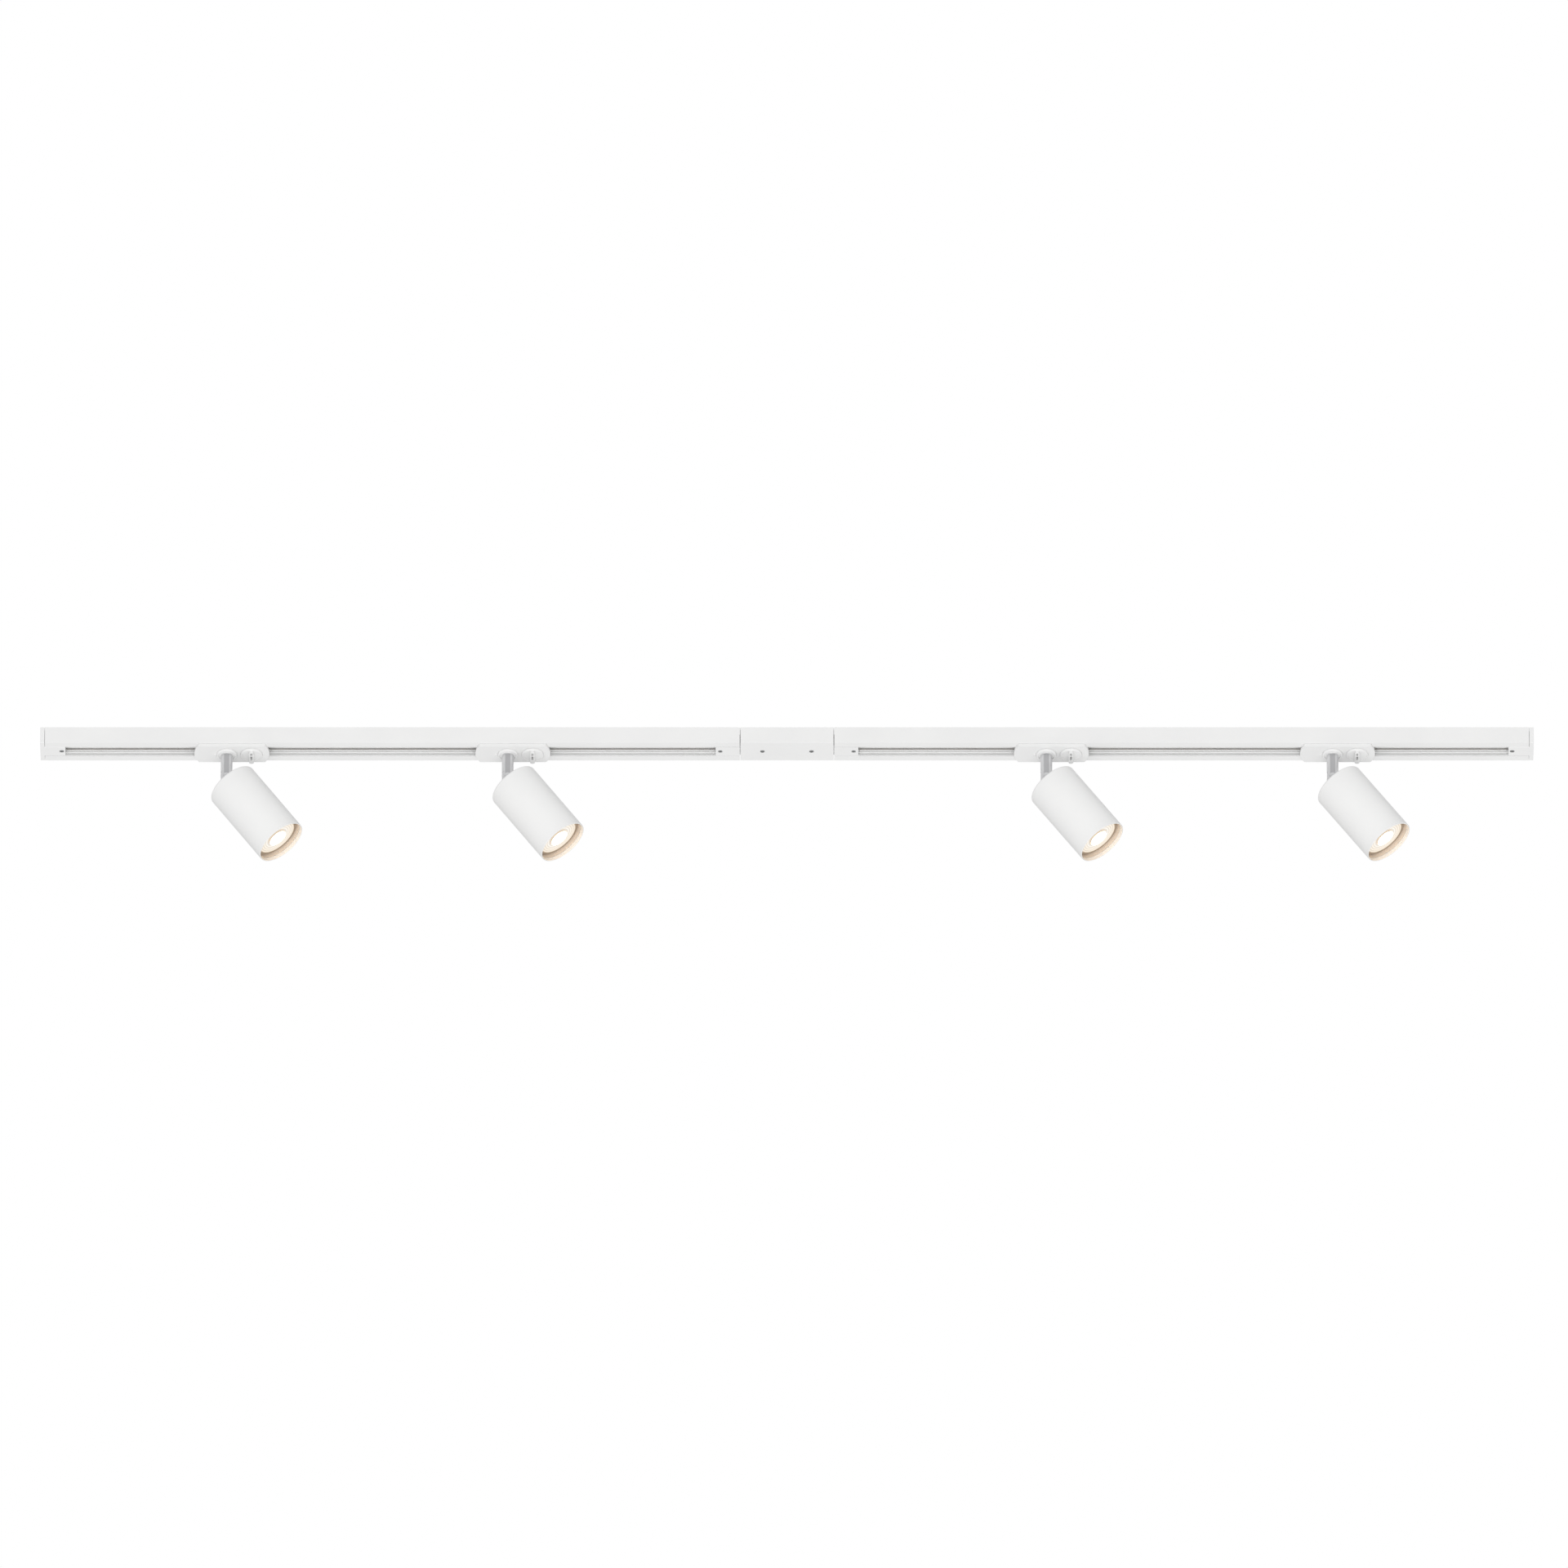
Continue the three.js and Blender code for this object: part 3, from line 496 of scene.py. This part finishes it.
def liner_outline():
    """Web under the roof and two side walls, each with a foot, a lock and a conductor groove."""
    face = 9.6 * MM
    back = RAIL_HALF_WIDTH - WALL - 0.3 * MM
    groove = 12.2 * MM
    conductor = 13.2 * MM
    return mirrored([
        (back, -1.9 * MM),
        (back, -17 * MM),
        (groove, -17 * MM),
        (groove, -16 * MM),
        (face, -16 * MM),
        (face, -13.5 * MM),
        (groove, -13.5 * MM),
        (groove, -12 * MM),
        (face, -12 * MM),
        (face, -11 * MM),
        (conductor, -11 * MM),
        (conductor, -8 * MM),
        (face, -8 * MM),
        (face, -3.4 * MM),
    ])


def make_liner(side, sign):
    low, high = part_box(f"{side}_liner")
    liner = prism(f"{side}_liner_extrusion", liner_outline(), low.x, high.x, "X")
    carve(liner, *fixing_holes(side, sign, 5 * MM))
    soften(liner, 0.2 * MM, 2)
    finish_piece(liner, "track", LINER_PLASTIC, f"{side}_liner")


for side, sign in (("left", -1), ("right", 1)):
    make_rail(side, sign)
    make_liner(side, sign)

# ------------------------------------------------------------ feeder cover and end caps
SCREW_HEAD = 2.2 * MM
SCREW_SEAT = 2.5 * MM
JOINT_GAP = 0.4 * MM
TONGUE_HALF = 8.6 * MM


def body_outline():
    return mirrored([(RAIL_HALF_WIDTH, 0), (RAIL_HALF_WIDTH, UNDERSIDE)])


def make_feeder_cover():
    low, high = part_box("feeder_cover")
    cover = prism("feeder_cover_shell", body_outline(), low.x + JOINT_GAP, high.x - JOINT_GAP, "X")
    inner = RAIL_HALF_WIDTH - WALL
    hollow = [(-inner, UNDERSIDE + WALL), (inner, UNDERSIDE + WALL), (inner, MM), (-inner, MM)]
    cutters = [prism("cutter", hollow, low.x - MM, high.x + MM, "X")]
    for number in (1, 2):
        centre = sum(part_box(f"cover_screw_{number}"), Vector()) / 2
        cutters.append(drum("cutter", centre.x, 0, 1.6 * MM, UNDERSIDE - MM, UNDERSIDE + 3 * MM))
        cutters.append(drum("cutter", centre.x, 0, SCREW_SEAT, UNDERSIDE - MM, UNDERSIDE + 0.8 * MM))
    carve(cover, *cutters)
    soften(cover, 0.45 * MM)
    finish_piece(cover, "track", WHITE_PAINT, "feeder_cover")


def make_end_cap(side, sign):
    low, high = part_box(f"{side}_end_cap")
    outer = low.x if sign < 0 else high.x
    plate_inner = outer - sign * 4.7 * MM
    tongue_end = high.x if sign < 0 else low.x
    plate = prism("plate", body_outline(), min(outer, plate_inner), max(outer, plate_inner), "X")
    reach = sorted((tongue_end, plate_inner + sign * MM))
    tongue = block("tongue", *reach, -TONGUE_HALF, TONGUE_HALF, UNDERSIDE, -3.7 * MM)
    join(plate, tongue)
    centre = sum(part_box(f"{side}_cap_screw"), Vector()) / 2
    carve(plate, drum("cutter", centre.x, 0, SCREW_SEAT, UNDERSIDE - MM, UNDERSIDE + 2.1 * MM),
          drum("cutter", centre.x, 0, 1.6 * MM, UNDERSIDE, -MM))
    plate.name = f"{side}_end_cap_moulding"
    soften(plate, 0.5 * MM)
    finish_piece(plate, "track", WHITE_PLASTIC, f"{side}_end_cap")


make_feeder_cover()
for side, sign in (("left", -1), ("right", 1)):
    make_end_cap(side, sign)


# ------------------------------------------------------------ screws
def make_screw(node):
    """Low domed head with a cross recess, over a plain shank."""
    low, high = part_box(node)
    centre = (low + high) / 2
    top = high.z - low.z
    head = 1.6 * MM
    screw = revolve(f"{node}_turned", [
        (0, 0.0),
        (0.9 * MM, 0.03 * MM),
        (1.6 * MM, 0.14 * MM),
        (SCREW_HEAD - 0.1 * MM, 0.42 * MM),
        (SCREW_HEAD, 0.62 * MM),
        (SCREW_HEAD, head - 0.1 * MM),
        (SCREW_HEAD - 0.1 * MM, head),
        (1.3 * MM, head),
        (1.3 * MM, top - 0.4 * MM),
        (0.9 * MM, top),
        (0, top),
    ], 64)
    arm = 1.5 * MM
    width = 0.33 * MM
    carve(screw,
          block("cutter", -arm, arm, -width, width, -MM, 0.8 * MM),
          block("cutter", -width, width, -arm, arm, -MM, 0.8 * MM))
    soften(screw, 0.06 * MM, 2)
    place = Matrix.Translation((centre.x, centre.y, low.z))
    finish_piece(screw, "track", ZINC_STEEL_WITH_PAINTED_SHADE, node, place)


for node in sorted(frame["nodes"]):
    if node.endswith("_screw") or node.startswith("cover_screw"):
        make_screw(node)


# ------------------------------------------------------------ adapters
def bowed_plate_outline(half_length, half_width, bow, arc_steps=16):
    """Rectangle whose two ends bow outward, from circular arcs."""
    radius = (half_width ** 2 + bow ** 2) / (2 * bow)
    reach = math.asin(half_width / radius)
    end = []
    for k in range(arc_steps + 1):
        angle = reach - 2 * reach * k / arc_steps
        end.append((half_length - radius * (1 - math.cos(angle)), radius * math.sin(angle)))
    return end + [(-x, y) for x, y in reversed(end)]


def make_adapter(number):
    low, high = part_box(f"adapter_{number}")
    middle = (low.x + high.x) / 2
    plate_top = UNDERSIDE - 0.08 * MM
    plate_bottom = UNDERSIDE - 3.3 * MM
    guide_top = -15 * MM
    guide_length = 35 * MM
    stem = stem_x(number) - middle
    lever = lever_x(number) - middle
    outline = bowed_plate_outline((high.x - low.x) / 2, high.y, 4.8 * MM)
    plate = prism("plate", outline, plate_bottom, plate_top)
    across = (-TONGUE_HALF, TONGUE_HALF)
    guide = block("guide", -guide_length, guide_length, *across, plate_top - MM, guide_top)
    wire_box = block("wire_box", -guide_length, 6 * MM, *across, guide_top - MM, -6 * MM)
    latch = block("latch", -19.2 * MM, -16.8 * MM, 0, 4 * MM, low.z, plate_bottom + MM)
    join(plate, guide, wire_box, latch)
    carve(plate,
          drum("cutter", stem, 0, 5.8 * MM, plate_bottom - MM, -16 * MM),
          drum("cutter", stem, 0, 7.3 * MM, -16.3 * MM, -13 * MM),
          drum("cutter", stem, 0, 4.5 * MM, -14 * MM, -5 * MM),
          drum("cutter", lever, 0, 4.3 * MM, plate_bottom - MM, -14 * MM))
    plate.name = f"adapter_moulding_{number}"
    soften(plate, 0.35 * MM)
    place = Matrix.Translation((middle, 0, 0))
    finish_piece(plate, f"carriage_{number}", WHITE_PLASTIC, f"adapter_{number}", place)


# ------------------------------------------------------------ lock levers
DISC_BOTTOM = -26 * MM
DISC_TOP = -23.6 * MM


def make_lever(number):
    """Disc with a cross fin below; shaft, lock tabs and rotor above."""
    low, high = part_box(f"lock_lever_{number}")
    radius = high.y
    tip = low.z
    top = high.z
    dish = 0.6 * MM
    disc = revolve("disc", [
        (0, DISC_BOTTOM + dish),
        (radius - 1.9 * MM, DISC_BOTTOM + dish),
        (radius - 1.6 * MM, DISC_BOTTOM),
        (radius - 1.1 * MM, DISC_BOTTOM),
        (radius - 0.5 * MM, DISC_BOTTOM + 0.2 * MM),
        (radius - 0.15 * MM, DISC_BOTTOM + 0.7 * MM),
        (radius, DISC_TOP),
        (4 * MM, DISC_TOP),
        (4 * MM, -13.9 * MM),
        (5 * MM, -13.9 * MM),
        (5 * MM, top),
        (0, top),
    ], 96)
    half = 2.6 * MM
    slot = 1.1 * MM
    reach = 10.5 * MM - half
    fin_outline = []
    for k in range(17):
        angle = math.pi * k / 16
        fin_outline.append((half * math.cos(angle), reach + half * math.sin(angle)))
    fin_outline += [(-x, -y) for x, y in fin_outline]
    fin = prism("fin", fin_outline, tip, DISC_BOTTOM + MM)
    tabs = block("tabs", -2 * MM, 2 * MM, -11.7 * MM, 11.7 * MM, -13.3 * MM, -12.2 * MM)
    blade = 2.3 * MM
    blade_heights = (-10.5 * MM, -8.5 * MM)
    join(disc, fin, tabs)
    carve(disc,
          block("cutter", -slot, slot, -9.3 * MM, -4.2 * MM, tip - MM, DISC_TOP - 0.7 * MM),
          block("cutter", -slot, slot, -3.2 * MM, 3.8 * MM, tip - MM, -19 * MM),
          block("cutter", -blade, blade, 1.2 * MM, 6 * MM, *blade_heights),
          block("cutter", -blade, blade, -6 * MM, -1.2 * MM, *blade_heights))
    disc.name = f"lock_lever_moulding_{number}"
    soften(disc, 0.3 * MM)
    place = Matrix.Translation((lever_x(number), 0, 0))
    finish_piece(disc, f"lever_{number}", WHITE_PLASTIC, f"lock_lever_{number}", place)


# ------------------------------------------------------------ swivels and pins
POST_RADIUS = 6.3 * MM
CHEEK_HALF = 5.9 * MM
CHANNEL_HALF = 2.6 * MM
CHANNEL_DEPTH = 1.3 * MM
FORK_GAP_HALF = 2.8 * MM
PIN_HOLE = 2.3 * MM
# Post metal with painted shade in its channels and painted highlights beside them.
SATIN_METAL_WITH_PAINTED_LIGHT = post_material_with_painted_light("satin_grey_metal_with_painted_light", CHANNEL_HALF)


def make_swivel_disc(number):
    """White disc round the post's root."""
    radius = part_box(f"swivel_fork_{number}")[1].y
    dish = DISC_BOTTOM + 1.3 * MM
    bore = 5.6 * MM
    disc = revolve(f"swivel_disc_{number}", [
        (bore, DISC_BOTTOM + 0.1 * MM),
        (POST_RADIUS, DISC_BOTTOM + 0.1 * MM),
        (POST_RADIUS + 0.1 * MM, dish),
        (radius - 2.2 * MM, dish),
        (radius - 2.0 * MM, DISC_BOTTOM + 0.1 * MM),
        (radius - 1.9 * MM, DISC_BOTTOM),
        (radius - 1.0 * MM, DISC_BOTTOM),
        (radius - 0.45 * MM, DISC_BOTTOM + 0.2 * MM),
        (radius - 0.1 * MM, DISC_BOTTOM + 0.7 * MM),
        (radius, DISC_TOP),
        (bore, DISC_TOP),
    ], 96)
    place = Matrix.Translation((stem_x(number), 0, 0))
    finish_piece(disc, f"swivel_{number}", WHITE_PLASTIC, None, place)


def make_swivel_post(number):
    """Hub and collar inside the adapter, and the post that ends in a fork round the pivot."""
    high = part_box(f"swivel_fork_{number}")[1]
    pivot_z = pivot(number).z
    post = revolve("post", [
        (0, pivot_z),
        (POST_RADIUS, pivot_z),
        (POST_RADIUS, DISC_BOTTOM),
        (5.5 * MM, DISC_BOTTOM),
        (5.5 * MM, -16 * MM),
        (7 * MM, -16 * MM),
        (7 * MM, high.z),
        (0, high.z),
    ], 96)
    end = prism("end", circle(0, pivot_z, POST_RADIUS, 64), -CHEEK_HALF, CHEEK_HALF, "Y")
    join(post, end)
    slot_top = pivot_z + 7 * MM
    flat_top = pivot_z + 4 * MM
    below = pivot_z - 9 * MM
    wide = 9 * MM
    channel_floor = POST_RADIUS - CHANNEL_DEPTH
    carve(post,
          block("cutter", -CHANNEL_HALF, CHANNEL_HALF, -wide, -channel_floor, flat_top, DISC_BOTTOM),
          block("cutter", -CHANNEL_HALF, CHANNEL_HALF, channel_floor, wide, flat_top, DISC_BOTTOM),
          block("cutter", -wide, wide, -FORK_GAP_HALF, FORK_GAP_HALF, below, slot_top),
          block("cutter", -wide, wide, CHEEK_HALF, wide, below, flat_top),
          block("cutter", -wide, wide, -wide, -CHEEK_HALF, below, flat_top),
          prism("cutter", circle(0, pivot_z, PIN_HOLE, 40), -wide, wide, "Y"))
    post.name = f"swivel_post_{number}"
    soften(post, 0.3 * MM)
    place = Matrix.Translation((stem_x(number), 0, 0))
    finish_piece(post, f"swivel_{number}", SATIN_METAL_WITH_PAINTED_LIGHT, f"swivel_fork_{number}", place)


def make_pin(number):
    low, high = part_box(f"pivot_pin_{number}")
    reach = high.y - low.y
    pin = revolve(f"pivot_pin_turned_{number}", [
        (0, 0),
        (2.2 * MM, 0.05 * MM),
        (2.9 * MM, 0.3 * MM),
        (3.2 * MM, 0.7 * MM),
        (3.2 * MM, 1.1 * MM),
        (2 * MM, 1.1 * MM),
        (2 * MM, reach - 0.4 * MM),
        (1.6 * MM, reach),
        (0, reach),
    ], 48)
    along_y = Matrix.Rotation(math.radians(-90), 4, "X")
    place = Matrix.Translation((stem_x(number), low.y, pivot(number).z)) @ along_y
    finish_piece(pin, f"swivel_{number}", PIN_STEEL, f"pivot_pin_{number}", place)


# ------------------------------------------------------------ heads
# Distances run from the tilt pivot along the head's axis.
HOUSING_RADIUS = 28 * MM
HOUSING_BORE = 26.9 * MM
HOUSING_REAR = 9.7 * MM
HOUSING_MOUTH = 101.7 * MM
LAMP_RADIUS = 25 * MM
LAMP_REAR = 46.4 * MM
LAMP_FRONT = 94 * MM
LENS_RADIUS = 23.3 * MM
DOME_RADIUS = 11 * MM
DOME_BORE = 10.3 * MM
DOME_WALL = 1.5 * MM
DOME_CROWN = 3.3 * MM
RING_PLACE = HOUSING_MOUTH - 4.2 * MM
LEDGE_BORE = 25.3 * MM
LEDGE_FRONT = 92.8 * MM
LEDGE_BACK = 91.2 * MM


def arc(centre_radius, centre_height, radius, start, end, steps):
    """Points of a profile arc, angles in degrees from outward along the radius."""
    points = []
    for k in range(steps + 1):
        angle = math.radians(start + (end - start) * k / steps)
        points.append((centre_radius + radius * math.cos(angle), centre_height + radius * math.sin(angle)))
    return points


def make_housing(number):
    """Spun can with a rolled rear edge, a rounded mouth, a ring groove and a ledge inside."""
    rear = 2.2 * MM
    lip = 0.5 * MM
    rear_wall = 1.8 * MM
    groove_half = 0.3 * MM
    groove_radius = HOUSING_BORE + 0.2 * MM
    profile = [(0, HOUSING_REAR)]
    profile += arc(HOUSING_RADIUS - rear, HOUSING_REAR + rear, rear, -90, 0, 8)
    profile += arc(HOUSING_RADIUS - lip, HOUSING_MOUTH - lip, lip, 0, 90, 5)
    profile += arc(HOUSING_BORE + lip, HOUSING_MOUTH - lip, lip, 90, 180, 5)
    profile += [
        (HOUSING_BORE, RING_PLACE + groove_half + 0.05 * MM),
        (groove_radius, RING_PLACE + groove_half),
        (groove_radius, RING_PLACE - groove_half),
        (HOUSING_BORE, RING_PLACE - groove_half - 0.05 * MM),
        (HOUSING_BORE, LEDGE_FRONT + 0.3 * MM),
        (HOUSING_BORE - 0.3 * MM, LEDGE_FRONT),
        (LEDGE_BORE + 0.2 * MM, LEDGE_FRONT),
        (LEDGE_BORE, LEDGE_FRONT - 0.2 * MM),
        (LEDGE_BORE, LEDGE_BACK),
        (HOUSING_BORE, LEDGE_BACK),
        (HOUSING_BORE, HOUSING_REAR + rear_wall),
        (0, HOUSING_REAR + rear_wall),
    ]
    can = revolve(f"housing_can_{number}", profile, 144)
    wire_hole = drum("cutter", 0, 12 * MM, 3 * MM, HOUSING_REAR - MM, HOUSING_REAR + 4 * MM)
    carve(can, wire_hole)
    flats = can.modifiers.new("flat faces", "WEIGHTED_NORMAL")
    flats.keep_sharp = True
    finish_piece(can, f"head_{number}", CAN_PAINT_WITH_PAINTED_LIGHT, f"housing_{number}", head_place(number))


def make_lug(number):
    """Eye between the fork's cheeks, fixed to the housing's rear wall."""
    radius = 6 * MM
    outline = [(-radius, HOUSING_REAR + 0.2 * MM), (-radius, 0)]
    outline += [
        (radius * math.cos(math.pi + math.pi * k / 24), radius * math.sin(math.pi + math.pi * k / 24))
        for k in range(1, 24)
    ]
    outline += [(radius, 0), (radius, HOUSING_REAR + 0.2 * MM)]
    lug = prism(f"housing_lug_{number}", outline, -2.5 * MM, 2.5 * MM, "Y")
    carve(lug, prism("cutter", circle(0, 0, PIN_HOLE, 40), -4 * MM, 4 * MM, "Y"))
    soften(lug, 0.3 * MM)
    finish_piece(lug, f"head_{number}", WHITE_PAINT, None, head_place(number))


def make_lamp(number):
    """Reflector lamp's shell with its twist-lock pins, and the dark ring round its face."""
    rim = LAMP_FRONT - 6 * MM
    shell = revolve("shell", [
        (0, LAMP_REAR),
        (11.5 * MM, LAMP_REAR),
        (12.5 * MM, LAMP_REAR + MM),
        (12.5 * MM, LAMP_REAR + 8 * MM),
        (15 * MM, LAMP_REAR + 10.5 * MM),
        (17.5 * MM, LAMP_REAR + 14 * MM),
        (20.3 * MM, LAMP_REAR + 20 * MM),
        (22.2 * MM, LAMP_REAR + 26 * MM),
        (23.6 * MM, LAMP_REAR + 33 * MM),
        (24.4 * MM, LAMP_REAR + 40 * MM),
        (LAMP_RADIUS, rim),
        (LAMP_RADIUS, LAMP_FRONT - 0.5 * MM),
        (LAMP_RADIUS - 0.2 * MM, LAMP_FRONT - 0.15 * MM),
        (LAMP_RADIUS - 0.5 * MM, LAMP_FRONT),
        (LENS_RADIUS + 0.3 * MM, LAMP_FRONT),
        (LENS_RADIUS + 0.3 * MM, LAMP_FRONT - 2.2 * MM),
        (0, LAMP_FRONT - 2.2 * MM),
    ], 96)
    pins = []
    for y in (-5 * MM, 5 * MM):
        pins.append(drum("pin", 0, y, 1.25 * MM, LAMP_REAR - 7 * MM, LAMP_REAR + MM, 24))
        pins.append(drum("pin_head", 0, y, 2.4 * MM, LAMP_REAR - 7 * MM, LAMP_REAR - 5 * MM, 24))
    join(shell, *pins)
    shell.name = f"lamp_shell_{number}"
    soften(shell, 0.15 * MM, 2)
    place = head_place(number)
    finish_piece(shell, f"head_{number}", LAMP_RIM, f"lamp_{number}", place)


def make_lens(number):
    """Moulded lens: an outer ring of shallow circles, then a short wall up to the glowing dome."""
    back = -1.9 * MM
    face = -0.35 * MM
    swell = 0.14 * MM
    edge = LENS_RADIUS - 0.6 * MM
    profile = [
        (DOME_BORE, back),
        (LENS_RADIUS, back),
        (LENS_RADIUS, -0.5 * MM),
        (LENS_RADIUS - 0.3 * MM, -0.3 * MM),
    ]
    circles = 4
    steps = circles * 6
    for k in range(steps + 1):
        radius = edge - (edge - DOME_RADIUS) * k / steps
        profile.append((radius, face + swell * math.sin(math.tau * circles * k / steps)))
    profile += [(DOME_RADIUS - 0.3 * MM, DOME_WALL), (DOME_BORE, DOME_WALL)]
    ring = revolve(f"lens_ring_{number}", profile, 64)
    place = head_place(number) @ Matrix.Translation((0, 0, LAMP_FRONT))
    finish_piece(ring, f"head_{number}", LENS_RING, f"lens_{number}", place)


def make_lens_dome(number):
    """Glowing dome inside the lens's ring."""
    foot = DOME_BORE - 0.05 * MM
    depth = 1.5 * MM
    crown_steps = 8
    profile = [(0, DOME_WALL - depth), (foot, DOME_WALL - depth), (foot, DOME_WALL)]
    for k in range(1, crown_steps):
        share = k / crown_steps
        rise = (DOME_CROWN - DOME_WALL) * math.sin(math.pi / 2 * share)
        profile.append((foot * (1 - share), DOME_WALL + rise))
    profile.append((0, DOME_CROWN))
    dome = revolve(f"lens_dome_{number}", profile, 48)
    place = head_place(number) @ Matrix.Translation((0, 0, LAMP_FRONT))
    finish_piece(dome, f"head_{number}", LENS_DOME, None, place)


def make_spring_ring(number):
    """Open wire ring in the groove behind the mouth, which holds the lamp."""
    points = []
    faces = []
    wire = 0.3 * MM
    centre = HOUSING_BORE - 0.1 * MM
    turns = 120
    sides = 10
    gap = math.radians(9)
    for k in range(turns + 1):
        angle = gap / 2 + (math.tau - gap) * k / turns
        for j in range(sides):
            around = math.tau * j / sides
            radius = centre + wire * math.cos(around)
            points.append((radius * math.cos(angle), radius * math.sin(angle), wire * math.sin(around)))
    for k in range(turns):
        for j in range(sides):
            after = (j + 1) % sides
            faces.append([k * sides + j, k * sides + after, (k + 1) * sides + after, (k + 1) * sides + j])
    faces.append(list(range(sides)))
    faces.append([turns * sides + j for j in range(sides)])
    ring = mesh_object(f"spring_ring_{number}", points, faces)
    place = head_place(number) @ Matrix.Translation((0, 0, RING_PLACE))
    finish_piece(ring, f"head_{number}", LACQUERED_STEEL, None, place)


LENS_RING = lens_ring_material("lit_lens_ring", DOME_BORE, LENS_RADIUS)
LENS_DOME = lens_dome_material("lit_lens_dome")
# Can paint whose mouth interior holds painted shade and painted lamp light.
CAN_PAINT_WITH_PAINTED_LIGHT = can_paint_with_painted_light_material("white_can_paint_with_painted_light", HOUSING_BORE, LEDGE_BACK, LEDGE_FRONT, RING_PLACE)
for number in SPOTS:
    make_adapter(number)
    make_lever(number)
    make_swivel_disc(number)
    make_swivel_post(number)
    make_pin(number)
    make_housing(number)
    make_lug(number)
    make_lamp(number)
    make_lens(number)
    make_lens_dome(number)
    make_spring_ring(number)

# ------------------------------------------------------------ CAD nodes that stay
KEPT_MATERIALS = {
    "conductor": TINNED_COPPER_WITH_PAINTED_SHADE,
    "contact": TINNED_COPPER_WITH_PAINTED_SHADE,
    "terminal_block": CERAMIC,
    "lampholder": CERAMIC,
    "feeder_base": WHITE_PLASTIC,
}
for name, node in frame["nodes"].items():
    for word, material in KEPT_MATERIALS.items():
        if word in name:
            node.data.materials.clear()
            node.data.materials.append(material)
            soften(node, 0.15 * MM, 2)


# ------------------------------------------------------------ floor, light and camera
def make_floor():
    """Pale floor far below, so that the camera under the fixture is still above it.

    It casts no shadow, so that the front softbox can shine up past it, from where the camera is.
    """
    depth = -40
    half = 700
    floor = mesh_object(
        "studio_floor",
        [(-half, -half, depth), (half, -half, depth), (half, half, depth), (-half, half, depth)],
        [(0, 1, 2, 3)],
    )
    material = grained(
        "studio_floor_paint", (0.80, 0.80, 0.80), (0.78, 0.78, 0.78), (0.75, 0.9), [(40, 0.0002)],
        drift_mm=4000,
    )
    floor.data.materials.append(material)
    floor.visible_shadow = False


def make_world(camera_level, light_level):
    """White all round: one level behind the object, a lower one for its light."""
    world = bpy.data.worlds.new("studio")
    world.use_nodes = True
    tree = world.node_tree
    background = tree.nodes["Background"]
    background.inputs["Color"].default_value = (1, 1, 1, 1)
    path = tree.nodes.new("ShaderNodeLightPath")
    level = span(tree, path.outputs["Is Camera Ray"], light_level, camera_level, 0, 1)
    tree.links.new(level, background.inputs["Strength"])
    scene.world = world


def make_soft_light(name, azimuth, elevation, strength, spread):
    """Sun as a far softbox: azimuth 0 shines from the front, elevation above the horizon."""
    data = bpy.data.lights.new(name, "SUN")
    data.energy = strength
    data.angle = math.radians(spread)
    light = bpy.data.objects.new(name, data)
    a = math.radians(azimuth)
    e = math.radians(elevation)
    toward = Vector((math.sin(a) * math.cos(e), -math.cos(a) * math.cos(e), math.sin(e)))
    light.rotation_mode = "QUATERNION"
    light.rotation_quaternion = toward.to_track_quat("Z", "Y")
    scene.collection.objects.link(light)


def make_camera():
    """From below and in front, through a long lens, with the rail a little above the middle."""
    elevation = math.radians(-33.1)
    distance = 32
    frame_width = 1.693
    sensor = 36
    along = Vector((0, math.cos(elevation), -math.sin(elevation)))
    up = Vector((0, math.sin(elevation), math.cos(elevation)))
    sideways = -0.0032
    drop = 0.035
    aim = Vector((sideways, 0, UNDERSIDE)) - up * drop
    data = bpy.data.cameras.new("camera")
    data.sensor_width = sensor
    data.lens = sensor * distance / frame_width
    data.clip_start = 0.1
    data.clip_end = 1000
    camera = bpy.data.objects.new("camera", data)
    camera.location = aim - along * distance
    camera.rotation_mode = "QUATERNION"
    camera.rotation_quaternion = along.to_track_quat("-Z", "Y")
    scene.collection.objects.link(camera)
    scene.camera = camera


make_floor()
make_world(camera_level=1.0, light_level=0.70)
make_soft_light("overhead_softbox", 0, 85, 0.45, 60)
make_soft_light("front_softbox", -2, -46, 1.54, 40)
make_camera()
scene.view_settings.view_transform = "Standard"
